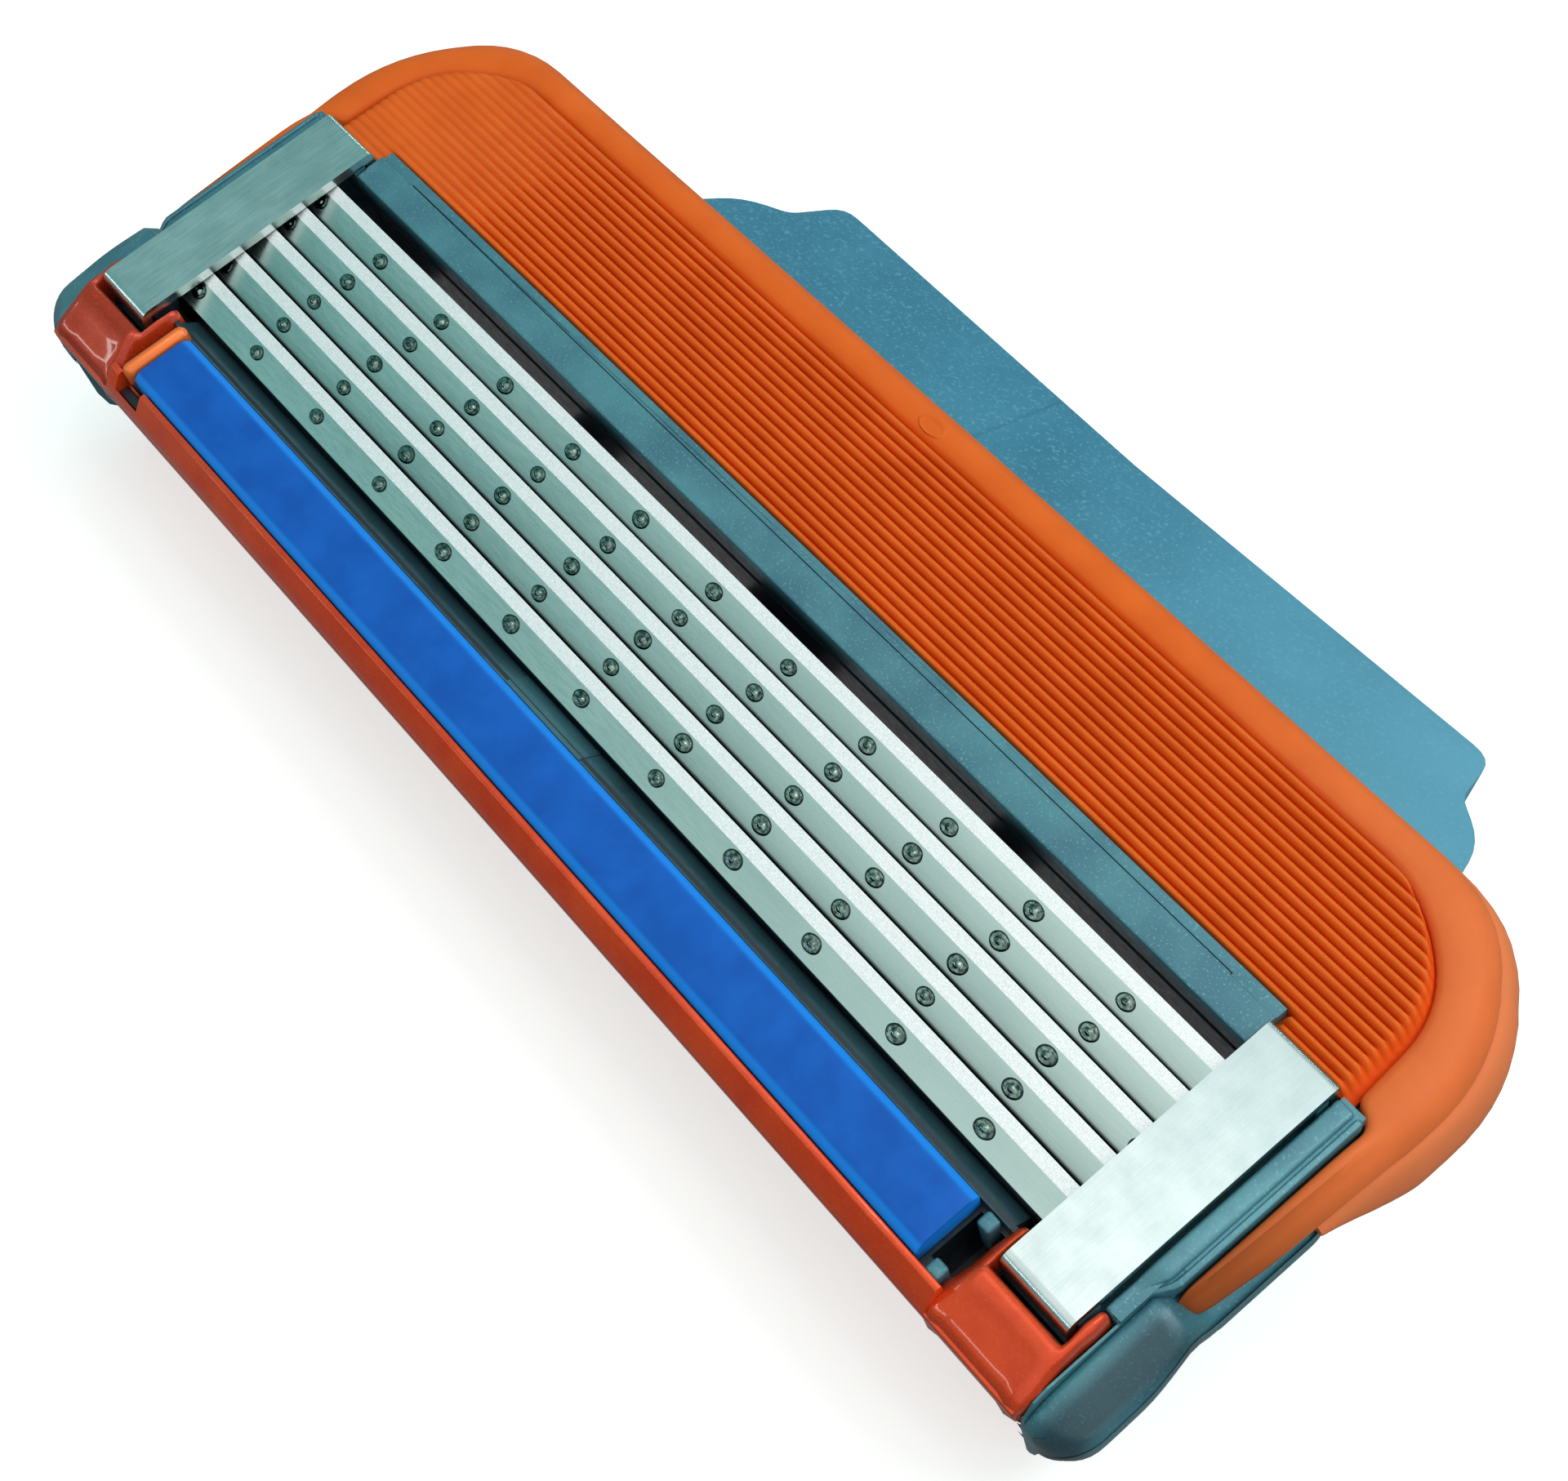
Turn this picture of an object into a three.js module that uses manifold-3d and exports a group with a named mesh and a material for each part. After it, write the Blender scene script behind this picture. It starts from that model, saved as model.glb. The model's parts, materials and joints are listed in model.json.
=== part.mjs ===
// A five-blade razor cartridge: a pivoting head and the connector that a handle docks into.
//
// Millimetres. The head is drawn in its own frame: X runs along the blades, +Y points from the cap
// to the guard, +Z points out of the shaving face, and z = 0 is the plane of the blade edges.
// It is then tilted about the pivot so that the connector's docking socket lies level, opening
// towards +Y, and the cartridge stands on its trimmer edge and on the connector's underside.

import * as THREE from "three";
import { mergeVertices } from "three/addons/utils/BufferGeometryUtils.js";
import Module from "manifold-3d";

const wasm = await Module();
wasm.setup();

// ---- Driving dimensions ----

const BLADE_COUNT = 5;
const BLADE_PITCH = 1.05;
const BLADE_WIDTH = 1.12;
const BLADE_THICKNESS = 0.1;
const BLADE_HALF_LENGTH = 18.3;
const BLADE_SLOPE = THREE.MathUtils.degToRad(20.5);
const BEVEL_WIDTH = 0.33;
const FIRST_EDGE_Y = 0.6;
const WELD_GAP = 0.012; // between a blade and its support
const SLIP_GAP = 0.03; // between touching pieces
const BLADE_TRAVEL = 0.3;

const SUPPORT_THICKNESS = 0.16;
const SUPPORT_HALF_LENGTH = 18.1;
const PLATFORM_START = 0.42; // from the blade's edge, along the blade
const PLATFORM_END = 1.1;
const LEG_REAR = 0.5; // behind the blade's pitch line
const LEG_BOTTOM = -2.9;

const HOUSING_HALF_LENGTH = 20.15;
const HOUSING_BOTTOM = -5.1;
const HOUSING_REAR = -7.3;
const HOUSING_FRONT = 6.9;
const HOUSING_UNDERCUT = Math.tan(THREE.MathUtils.degToRad(9)); // of its rear wall
const DECK_TOP = -1.1; // under the blades' ends
const WELL_HALF_LENGTH = 17;
const WELL_REAR = -4.95;
const WELL_FRONT = 1.2;
const RIB_TOP = -3.9;
const RAIL_INNER_X = 19.5;
const RAIL_REAR = -4.9;
const RAIL_TOP = -0.18;
const GUARD_BAR_REAR = 1.45;
const GUARD_BAR_STEP = 2.1;
const GUARD_BAR_TOP = -0.02;
const CAP_BEAM_TOP = -0.27; // of the ledge in front of the strip
const FLANK_FRONT = -0.9; // of the end walls' swollen flanks, under the guard's tips
const FLANK_TOP = -1.25;
const LOBE_REAR = -7.72;
const LOBE_FRONT = -3.45;
const LOBE_TOP = -0.4;

const CLIP_INNER_X = 17.35;
const CLIP_OUTER_X = 19.4;
const CLIP_REAR = -5.95;
const CLIP_FRONT = 1.9;
const CLIP_THICKNESS = 0.28;
const CLIP_FOOT = 2.4;
const CLIP_BEND = 0.3; // the outside radius of its folds
const SLOT_GAP = 0.06;

const STRIP_REAR = -7.15;
const STRIP_FRONT = -5.3;
const STRIP_HALF_LENGTH = 16;
const STRIP_TOP = 0.12;
const STRIP_BOTTOM = -0.62;
const STRIP_CHAMFER = 0.3;

const GUARD_REAR = 2.45;
const GUARD_FRONT = 7.53; // at its top, as the half length is
const GUARD_HALF_LENGTH = 20.7;
const GUARD_BOTTOM = -3.1;
const GUARD_TOP = -0.55;
const GUARD_FLARE = 0.45;
const LIP_FLARE = 0.75;
const LIP_HEIGHT = 1.4;
const FIN_COUNT = 16;
const FIN_PITCH = 0.26;
const FIN_HEIGHT = 0.22;
const FIN_BASE = -0.35;

const COVER_REAR = -7.85;
const COVER_TOP = -0.12;
const COVER_FOOT = new THREE.Vector2(-6.7, -6.4); // the rear of the edge that the head stands on
const COVER_FOOT_WIDTH = 0.5;
const COVER_HALF_LENGTH = 19.75;
const COVER_BLOCK_FRONT = -6.1;
const COMB_SLOT_COUNT = 22;
const COMB_SLOT_PITCH = 1.25;
const COMB_SLOT_WIDTH = 0.65;

const FINGER_ROOT_X = 16.95;
const FINGER_TIP_X = 13.4;
const FINGER_WIDTH = 0.6;

const PIVOT = new THREE.Vector2(4, -3); // in the head's frame
const PIN_RADIUS = 0.9;
const PIN_CLEARANCE = 0.06;
const ARM_RADIUS = 1.45;
const ARM_INNER_X = 14.8;
const ARM_OUTER_X = 16.6;
const POCKET_SIDE_GAP = 0.3;
const POCKET_REAR_GAP = 0.5; // behind the arm, for the head's full turn
const PIN_END_X = 17.7;
const HEAD_TILT = THREE.MathUtils.degToRad(26);

const HUB_REAR = 12;
const HUB_FRONT = 3.1;
const HUB_TOP = -1.4; // below the pivot, as the other hub heights are
const WING_BOTTOM = -4.6;
const HUB_CORE_HALF_WIDTH = 8.8;
const NECK_BOTTOM = -3.6;
const SOCKET_HALF_WIDTH = 7;
const SOCKET_DEPTH = 7.2;
const SOCKET_TOP = -2.6;
const SOCKET_BOTTOM = -7;
const PLUNGER_WINDOW_HALF_WIDTH = 2.2;

const ROUND_STEPS = 20;

// The height of the pivot when the trimmer cover's foot touches the ground.
const footBelowPivot = COVER_FOOT.clone()
  .sub(PIVOT)
  .rotateAround(new THREE.Vector2(), HEAD_TILT);
const PIVOT_HEIGHT = -footBelowPivot.y;

// ---- Materials ----

const TEAL_PLASTIC = { color: 0x4f7f84, roughness: 0.42, metalness: 0.1 };
const CONNECTOR_PLASTIC = { color: 0x4b87a0, roughness: 0.5, metalness: 0.0 };
const ORANGE_RUBBER = { color: 0xd95a16, roughness: 0.62, metalness: 0.0 };
const ORANGE_LACQUER = { color: 0xc93a12, roughness: 0.25, metalness: 0.55 };
const BLUE_STRIP = { color: 0x155bbd, roughness: 0.55, metalness: 0.0 };
const BLADE_STEEL = { color: 0xb9d0cb, roughness: 0.28, metalness: 0.9 };
const SUPPORT_STEEL = { color: 0x8f9a9a, roughness: 0.4, metalness: 0.9 };
const CLIP_METAL = { color: 0xdfe6e4, roughness: 0.35, metalness: 0.9 };

// ---- Helpers ----

const AXES_YZX = new THREE.Matrix4().makeBasis(
  new THREE.Vector3(0, 1, 0),
  new THREE.Vector3(0, 0, 1),
  new THREE.Vector3(1, 0, 0),
);

function shapeOf(points) {
  return new THREE.Shape(points.map(([a, b]) => new THREE.Vector2(a, b)));
}

// A closed outline with each corner rounded: points are [x, y, radius].
function roundedShape(points) {
  const shape = new THREE.Shape();
  points.forEach(([x, y, radius = 0], i) => {
    const corner = new THREE.Vector2(x, y);
    const before = new THREE.Vector2(...points.at(i - 1).slice(0, 2));
    const after = new THREE.Vector2(...points[(i + 1) % points.length].slice(0, 2));
    const start = corner.clone().add(before.sub(corner).setLength(radius));
    const end = corner.clone().add(after.sub(corner).setLength(radius));
    if (i === 0) shape.moveTo(start.x, start.y);
    else shape.lineTo(start.x, start.y);
    if (radius > 0) shape.quadraticCurveTo(x, y, end.x, end.y);
  });
  shape.closePath();
  return shape;
}

// A rounded outline that is the same on both sides of X = 0, from the points of its +X half.
function symmetric(points) {
  const left = points.map(([x, ...rest]) => [-x, ...rest]).reverse();
  return roundedShape([...points, ...left]);
}

function extrude(shape, depth, curveSegments = 5) {
  return new THREE.ExtrudeGeometry(shape, { depth, bevelEnabled: false, curveSegments });
}

// An outline in X and Y, extruded from z0 up to z1.
function extrudeUp(shape, z0, z1, curveSegments) {
  return extrude(shape, z1 - z0, curveSegments).translate(0, 0, z0);
}

// The same with its two ends rounded over, drawn in by inset over a height of rise.
function extrudeSoft(shape, z0, z1, inset, rise) {
  const geometry = new THREE.ExtrudeGeometry(shape, {
    depth: z1 - z0 - 2 * rise,
    curveSegments: 4,
    bevelSize: inset,
    bevelOffset: -inset,
    bevelThickness: rise,
    bevelSegments: 3,
  });
  return geometry.translate(0, 0, z0 + rise);
}

// A section in Y and Z, extruded along X from x0 to x1.
function extrudeAlong(shape, x0, x1, curveSegments) {
  return extrude(shape, x1 - x0, curveSegments).applyMatrix4(AXES_YZX).translate(x0, 0, 0);
}

function box(x0, x1, y0, y1, z0, z1) {
  const geometry = new THREE.BoxGeometry(x1 - x0, y1 - y0, z1 - z0);
  return geometry.translate((x0 + x1) / 2, (y0 + y1) / 2, (z0 + z1) / 2);
}

function rod(radius, x0, x1, y, z) {
  const geometry = new THREE.CylinderGeometry(radius, radius, x1 - x0, ROUND_STEPS);
  return geometry.rotateZ(Math.PI / 2).translate((x0 + x1) / 2, y, z);
}

function solid(geometry) {
  const plain = geometry.clone();
  plain.deleteAttribute("normal");
  plain.deleteAttribute("uv");
  const merged = mergeVertices(plain, 1e-4);
  const mesh = new wasm.Mesh({
    numProp: 3,
    vertProperties: new Float32Array(merged.attributes.position.array),
    triVerts: new Uint32Array(merged.index.array),
  });
  return new wasm.Manifold(mesh);
}

function joined(geometries) {
  return geometries.map(solid).reduce((whole, part) => whole.add(part));
}

function cut(whole, geometries) {
  return geometries.map(solid).reduce((rest, part) => rest.subtract(part), whole);
}

function mirrored(geometry) {
  const copy = geometry.clone().scale(-1, 1, 1);
  const index = copy.index ? copy : mergeVertices(copy);
  const triangles = index.index.array;
  for (let i = 0; i < triangles.length; i += 3) {
    [triangles[i + 1], triangles[i + 2]] = [triangles[i + 2], triangles[i + 1]];
  }
  return index;
}

function bothEnds(geometries) {
  return geometries.flatMap((geometry) => [geometry, mirrored(geometry)]);
}

function geometryOf(manifold) {
  const mesh = manifold.getMesh();
  const geometry = new THREE.BufferGeometry();
  geometry.setAttribute("position", new THREE.BufferAttribute(mesh.vertProperties, 3));
  geometry.setIndex(new THREE.BufferAttribute(mesh.triVerts, 1));
  geometry.computeVertexNormals();
  return geometry;
}

function piece(name, manifold, look) {
  const mesh = new THREE.Mesh(geometryOf(manifold), new THREE.MeshStandardMaterial(look));
  mesh.name = name;
  return mesh;
}

// The Y offset of blade n, counted from 1 at the guard.
function bladeOffset(n) {
  return -BLADE_PITCH * (n - 1);
}

// A point of a blade's section: a distance back from its edge, and a height above its mid-plane.
function onBlade(n, back, above) {
  const y = FIRST_EDGE_Y - back * Math.cos(BLADE_SLOPE) - above * Math.sin(BLADE_SLOPE);
  const z = -back * Math.sin(BLADE_SLOPE) + above * Math.cos(BLADE_SLOPE);
  return [y + bladeOffset(n), z];
}

// ---- Blades and their supports ----

function blade(n) {
  const half = BLADE_THICKNESS / 2;
  const section = shapeOf([
    onBlade(n, 0, 0),
    onBlade(n, BEVEL_WIDTH, half),
    onBlade(n, BLADE_WIDTH, half),
    onBlade(n, BLADE_WIDTH, -half),
    onBlade(n, BEVEL_WIDTH, -half),
  ]);
  return solid(extrudeAlong(section, -BLADE_HALF_LENGTH, BLADE_HALF_LENGTH));
}

function bladeSupport(n) {
  const top = -BLADE_THICKNESS / 2 - WELD_GAP;
  const bottom = top - SUPPORT_THICKNESS;
  const legRear = bladeOffset(n) - LEG_REAR;
  const legFront = legRear + SUPPORT_THICKNESS;
  const bendOutside = onBlade(n, PLATFORM_END, top)[1] - SUPPORT_THICKNESS / 2;
  const section = shapeOf([
    onBlade(n, PLATFORM_START, top),
    onBlade(n, PLATFORM_END, top),
    [legRear, bendOutside],
    [legRear, LEG_BOTTOM],
    [legFront, LEG_BOTTOM],
    [legFront, bendOutside - SUPPORT_THICKNESS / 2],
    onBlade(n, PLATFORM_START, bottom),
  ]);
  return solid(extrudeAlong(section, -SUPPORT_HALF_LENGTH, SUPPORT_HALF_LENGTH));
}

// A sprung finger: it leaves the housing's end and rises to the underside of one support's leg.
function springFinger(n, side) {
  const middle = bladeOffset(n) - LEG_REAR + SUPPORT_THICKNESS / 2;
  const tipTop = LEG_BOTTOM - SLIP_GAP;
  const profile = [
    [FINGER_TIP_X, tipTop],
    [FINGER_TIP_X, tipTop - 0.3],
    [FINGER_ROOT_X, tipTop - 0.95],
    [FINGER_ROOT_X, tipTop - 0.4],
    [FINGER_TIP_X + 0.7, tipTop],
  ];
  const flat = extrude(shapeOf(profile), FINGER_WIDTH);
  const geometry = flat.rotateX(Math.PI / 2).translate(0, middle + FINGER_WIDTH / 2, 0);
  return solid(side > 0 ? geometry : mirrored(geometry));
}

// ---- Clips ----

// A metal strip folded round one end of the housing, with its two feet turned in underneath.
function clip(side) {
  const top = SLIP_GAP + CLIP_THICKNESS;
  const foot = HOUSING_BOTTOM - SLIP_GAP;
  const inner = { rear: CLIP_REAR + CLIP_THICKNESS, front: CLIP_FRONT - CLIP_THICKNESS };
  const section = roundedShape([
    [CLIP_REAR, foot - CLIP_THICKNESS, CLIP_BEND],
    [CLIP_REAR + CLIP_FOOT, foot - CLIP_THICKNESS],
    [CLIP_REAR + CLIP_FOOT, foot],
    [inner.rear, foot],
    [inner.rear, SLIP_GAP],
    [inner.front, SLIP_GAP],
    [inner.front, foot],
    [CLIP_FRONT - CLIP_FOOT, foot],
    [CLIP_FRONT - CLIP_FOOT, foot - CLIP_THICKNESS],
    [CLIP_FRONT, foot - CLIP_THICKNESS, CLIP_BEND],
    [CLIP_FRONT, top, CLIP_BEND],
    [CLIP_REAR, top, CLIP_BEND + 0.1],
  ]);
  const geometry = extrudeAlong(section, CLIP_INNER_X, CLIP_OUTER_X, 3);
  return solid(side > 0 ? geometry : mirrored(geometry));
}

// ---- Housing ----

// The plane of the housing's rear wall, which draws in downwards.
function rearWall(z) {
  return HOUSING_REAR - HOUSING_UNDERCUT * z;
}

function housingOutline(grow) {
  const end = HOUSING_HALF_LENGTH + grow;
  return symmetric([
    [end, HOUSING_REAR - grow, 0.8],
    [end, 4.3 + grow / 2, 1.2],
    [17.4 + grow / 2, HOUSING_FRONT + grow, 1.2],
  ]);
}

// The swollen flank of an end wall, under the guard's tip.
function endFlank() {
  const outline = roundedShape([
    [18, LOBE_FRONT - 1],
    [20.5, LOBE_FRONT - 1, 0.8],
    [21.2, FLANK_FRONT, 1.2],
    [18, FLANK_FRONT],
  ]);
  return extrudeSoft(outline, HOUSING_BOTTOM, FLANK_TOP, 0.7, 1.2);
}

// The rounded lobes at the cap-side corners, clear of the cover's corner blocks.
function endLobes() {
  const outline = roundedShape([
    [18, LOBE_REAR],
    [21.45, LOBE_REAR, 1.3],
    [20.75, LOBE_FRONT, 1],
    [18, LOBE_FRONT],
  ]);
  const lobe = extrudeSoft(outline, HOUSING_BOTTOM, LOBE_TOP, 0.8, 1.2);
  const overDeck = box(17, COVER_HALF_LENGTH + 0.09, LOBE_REAR - 1, LOBE_FRONT + 1, DECK_TOP, 1);
  return cut(joined(bothEnds([lobe])), bothEnds([overDeck]));
}

function housingBody() {
  const underDeck = DECK_TOP - 0.5;
  const capBeam = shapeOf([
    [HOUSING_REAR, HOUSING_BOTTOM],
    [WELL_REAR, HOUSING_BOTTOM],
    [STRIP_FRONT + 0.18, CAP_BEAM_TOP],
    [STRIP_FRONT + SLIP_GAP, CAP_BEAM_TOP],
    [STRIP_FRONT + SLIP_GAP, STRIP_BOTTOM - SLIP_GAP],
    [HOUSING_REAR, STRIP_BOTTOM - SLIP_GAP],
  ]);
  const guardBar = shapeOf([
    [GUARD_BAR_REAR, underDeck],
    [GUARD_REAR - SLIP_GAP, underDeck],
    [GUARD_REAR - SLIP_GAP, GUARD_BAR_TOP - 0.1],
    [GUARD_BAR_STEP, GUARD_BAR_TOP - 0.1],
    [GUARD_BAR_STEP, GUARD_BAR_TOP],
    [GUARD_BAR_REAR + 0.1, GUARD_BAR_TOP],
    [GUARD_BAR_REAR, GUARD_BAR_TOP - 0.13],
  ]);
  const endParts = [
    box(CLIP_INNER_X, CLIP_OUTER_X, -5.6, -5.0, underDeck, 0),
    box(CLIP_INNER_X, CLIP_OUTER_X, WELL_FRONT, CLIP_FRONT - 0.35, underDeck, 0),
    box(RAIL_INNER_X, HOUSING_HALF_LENGTH, RAIL_REAR, CLIP_FRONT, underDeck, RAIL_TOP),
    endFlank(),
  ];
  const taperRise = 1.2;
  const body = joined([
    extrudeSoft(housingOutline(0), HOUSING_BOTTOM, DECK_TOP, 0.5, taperRise),
    extrudeUp(housingOutline(0), HOUSING_BOTTOM + taperRise, DECK_TOP, 4),
    ...bothEnds(endParts),
    extrudeAlong(capBeam, -WELL_HALF_LENGTH, WELL_HALF_LENGTH),
    extrudeAlong(guardBar, -CLIP_INNER_X + SLOT_GAP, CLIP_INNER_X - SLOT_GAP),
  ]).add(endLobes());
  const well = box(
    -WELL_HALF_LENGTH,
    WELL_HALF_LENGTH,
    WELL_REAR,
    WELL_FRONT,
    HOUSING_BOTTOM - 1,
    1,
  );
  const behindRearWall = shapeOf([
    [HOUSING_REAR - 1, 0],
    [rearWall(0), 0],
    [rearWall(HOUSING_BOTTOM - 1), HOUSING_BOTTOM - 1],
    [HOUSING_REAR - 1, HOUSING_BOTTOM - 1],
  ]);
  const coverReach = COVER_HALF_LENGTH + SLOT_GAP;
  return cut(body, [well, extrudeAlong(behindRearWall, -coverReach, coverReach)]);
}

// Cross ribs under the blades: a wide one in the middle and two thin ones.
function crossRibs() {
  const rib = (x, halfWidth) =>
    box(x - halfWidth, x + halfWidth, WELL_REAR - 0.5, WELL_FRONT + 0.5, HOUSING_BOTTOM, RIB_TOP);
  return [rib(0, 1.5), rib(-8.6, 0.6), rib(8.6, 0.6)];
}

// The slots that guide the supports' legs at each end.
function combSlots() {
  return Array.from({ length: BLADE_COUNT }, (_, i) => {
    const rear = bladeOffset(i + 1) - LEG_REAR - SLOT_GAP;
    const front = rear + SUPPORT_THICKNESS + 2 * SLOT_GAP;
    const bottom = LEG_BOTTOM - BLADE_TRAVEL - 0.1;
    return box(WELL_HALF_LENGTH - 1, SUPPORT_HALF_LENGTH + 0.1, rear, front, bottom, 1);
  });
}

function clipSlots() {
  const x0 = CLIP_INNER_X - SLOT_GAP;
  const x1 = CLIP_OUTER_X + SLOT_GAP;
  const width = CLIP_THICKNESS + 2 * SLOT_GAP;
  const rear = CLIP_REAR - SLOT_GAP;
  const front = CLIP_FRONT + SLOT_GAP;
  return [
    box(x0, x1, rear, rear + width, HOUSING_BOTTOM - 1, 1),
    box(x0, x1, front - width, front, HOUSING_BOTTOM - 1, 1),
  ];
}

// The pocket that a connector arm turns in, and the bore for its pin.
function armPocket() {
  return [
    box(
      ARM_INNER_X - POCKET_SIDE_GAP,
      ARM_OUTER_X + POCKET_SIDE_GAP - 0.1,
      PIVOT.x - ARM_RADIUS - POCKET_REAR_GAP,
      HOUSING_FRONT + 1,
      HOUSING_BOTTOM - 1,
      PIVOT.y + ARM_RADIUS + 0.2,
    ),
    rod(PIN_RADIUS + PIN_CLEARANCE, ARM_OUTER_X, PIN_END_X + 0.15, PIVOT.x, PIVOT.y),
  ];
}

// The hollow in the cap beam past each end of the lubricating strip.
function stripEndPocket() {
  const x0 = STRIP_HALF_LENGTH + 0.1;
  return box(x0, WELL_HALF_LENGTH - 0.1, STRIP_REAR + 0.3, STRIP_FRONT - 0.1, -2.8, 1);
}

function housing() {
  const ribbed = crossRibs().map(solid).reduce((whole, rib) => whole.add(rib), housingBody());
  const hollows = [...combSlots(), ...clipSlots(), ...armPocket(), stripEndPocket()];
  return cut(ribbed, bothEnds(hollows));
}

// ---- Guard ----

// The guard's outer outline, grown by flare all round from the size of its top.
function guardOutline(flare) {
  const end = GUARD_HALF_LENGTH + flare;
  return symmetric([
    [GUARD_HALF_LENGTH - 0.35, -4.2],
    [end, -0.6, 1.5],
    [end, 5 + 0.45 * flare, 1.5],
    [17.9 + 0.38 * flare, GUARD_FRONT + flare, 1.5],
  ]);
}

// Fine ridges along X, from the guard's rear edge, in a field with tapered ends.
function guardFins() {
  const front = GUARD_REAR + FIN_COUNT * FIN_PITCH;
  const section = [
    [GUARD_REAR, GUARD_TOP - 0.5],
    [front, GUARD_TOP - 0.5],
  ];
  for (let i = FIN_COUNT; i > 0; i -= 1) {
    const y = GUARD_REAR + i * FIN_PITCH;
    section.push([y, FIN_BASE]);
    section.push([y - FIN_PITCH / 2, FIN_BASE + FIN_HEIGHT]);
  }
  section.push([GUARD_REAR, FIN_BASE]);
  const field = symmetric([
    [RAIL_INNER_X, GUARD_REAR - 1],
    [19.4, 3.9, 0.8],
    [17.6, front + 0.1, 0.8],
  ]);
  const ridges = solid(extrudeAlong(shapeOf(section), -RAIL_INNER_X, RAIL_INNER_X));
  return ridges.intersect(solid(extrudeUp(field, GUARD_TOP - 1, 0, 4)));
}

function guardElastomer() {
  const skirt = extrudeSoft(guardOutline(GUARD_FLARE), GUARD_BOTTOM, GUARD_TOP, GUARD_FLARE, 0.75);
  const lip = extrudeSoft(guardOutline(LIP_FLARE), GUARD_BOTTOM, GUARD_BOTTOM + LIP_HEIGHT, 0.3, 0.4);
  const inside = symmetric([
    [HOUSING_HALF_LENGTH + SLIP_GAP, -6],
    [HOUSING_HALF_LENGTH + SLIP_GAP, CLIP_FRONT + 0.2, 0.2],
    [RAIL_INNER_X, GUARD_REAR],
  ]);
  const flankSeat = box(18, 23, -6, FLANK_FRONT + 0.2, GUARD_BOTTOM - 1, FLANK_TOP + SLIP_GAP);
  const lobeSeat = box(18, 23, -6, LOBE_FRONT + SLIP_GAP, GUARD_BOTTOM - 1, 1);
  const seat = extrudeUp(housingOutline(SLIP_GAP), GUARD_BOTTOM - 1, DECK_TOP + SLIP_GAP, 4);
  const band = cut(joined([skirt, lip]), [extrudeUp(inside, GUARD_BOTTOM - 1, 1)]);
  return cut(band.add(guardFins()), [seat, ...bothEnds([flankSeat, lobeSeat])]);
}

// ---- Cap ----

function lubricatingStrip() {
  const c = STRIP_CHAMFER;
  const section = shapeOf([
    [STRIP_REAR, STRIP_BOTTOM],
    [STRIP_FRONT, STRIP_BOTTOM],
    [STRIP_FRONT, STRIP_TOP - c / 2],
    [STRIP_FRONT - c, STRIP_TOP],
    [STRIP_REAR + c, STRIP_TOP],
    [STRIP_REAR, STRIP_TOP - c / 2],
  ]);
  return solid(extrudeAlong(section, -STRIP_HALF_LENGTH, STRIP_HALF_LENGTH));
}

// The section of the cover's plate: down behind the housing's rear wall to its foot.
function coverSection() {
  const lipFront = STRIP_REAR - SLIP_GAP;
  const footFront = COVER_FOOT.x + COVER_FOOT_WIDTH;
  const footTop = COVER_FOOT.y + 0.25;
  return shapeOf([
    [COVER_REAR, -0.8],
    [-7.07, -4.7],
    [COVER_FOOT.x, COVER_FOOT.y],
    [footFront, COVER_FOOT.y - COVER_FOOT_WIDTH * Math.tan(HEAD_TILT)],
    [footFront, footTop],
    [footFront - 0.25, footTop],
    [rearWall(-4.5) - SLIP_GAP, -4.5],
    [rearWall(STRIP_BOTTOM) - SLIP_GAP, STRIP_BOTTOM],
    [lipFront, STRIP_BOTTOM],
    [lipFront, COVER_TOP],
    [lipFront - 0.2, COVER_TOP],
  ]);
}

// A corner block stands on the housing's deck and has a finger along the clip's outer side.
function coverBlock() {
  const inner = WELL_HALF_LENGTH + 0.05;
  const outline = roundedShape([
    [inner, COVER_REAR, 0.3],
    [COVER_HALF_LENGTH, COVER_REAR, 0.4],
    [COVER_HALF_LENGTH, RAIL_REAR - 0.1, 0.1],
    [CLIP_OUTER_X + SLOT_GAP, RAIL_REAR - 0.1, 0.1],
    [CLIP_OUTER_X + SLOT_GAP, COVER_BLOCK_FRONT],
    [inner, COVER_BLOCK_FRONT],
  ]);
  return extrudeUp(outline, DECK_TOP + SLIP_GAP, 0.1, 4);
}

function trimmerCover() {
  const rearNotch = box(15.95, 16.6, COVER_REAR + 0.25, STRIP_REAR + 0.1, STRIP_BOTTOM - 0.1, 1);
  const plate = solid(extrudeAlong(coverSection(), -COVER_HALF_LENGTH, COVER_HALF_LENGTH));
  const stripEndBar = box(
    -WELL_HALF_LENGTH - 0.3,
    -STRIP_HALF_LENGTH - SLIP_GAP,
    STRIP_REAR - 0.05,
    STRIP_FRONT - 0.1,
    STRIP_BOTTOM + SLIP_GAP,
    0.3,
  );
  const whole = cut(plate, bothEnds([rearNotch])).add(
    joined([...bothEnds([coverBlock()]), stripEndBar]),
  );
  const first = (-(COMB_SLOT_COUNT - 1) / 2) * COMB_SLOT_PITCH;
  const combSlot = (i) => {
    const x = first + i * COMB_SLOT_PITCH;
    const half = COMB_SLOT_WIDTH / 2;
    const front = COVER_FOOT.x + COVER_FOOT_WIDTH - 0.05;
    return box(x - half, x + half, COVER_REAR - 1, front, -6.05, HOUSING_BOTTOM + 0.2);
  };
  return cut(whole, Array.from({ length: COMB_SLOT_COUNT }, (_, i) => combSlot(i)));
}

// The trimming blade lies behind the comb, its edge down at the comb's foot.
function trimmerBlade() {
  const section = shapeOf([
    [-6.22, -6.08],
    [-6.3, -5.75],
    [-6.25, -5.2],
    [-6.15, -5.2],
    [-6.2, -5.75],
  ]);
  return solid(extrudeAlong(section, -15, 15));
}

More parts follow.
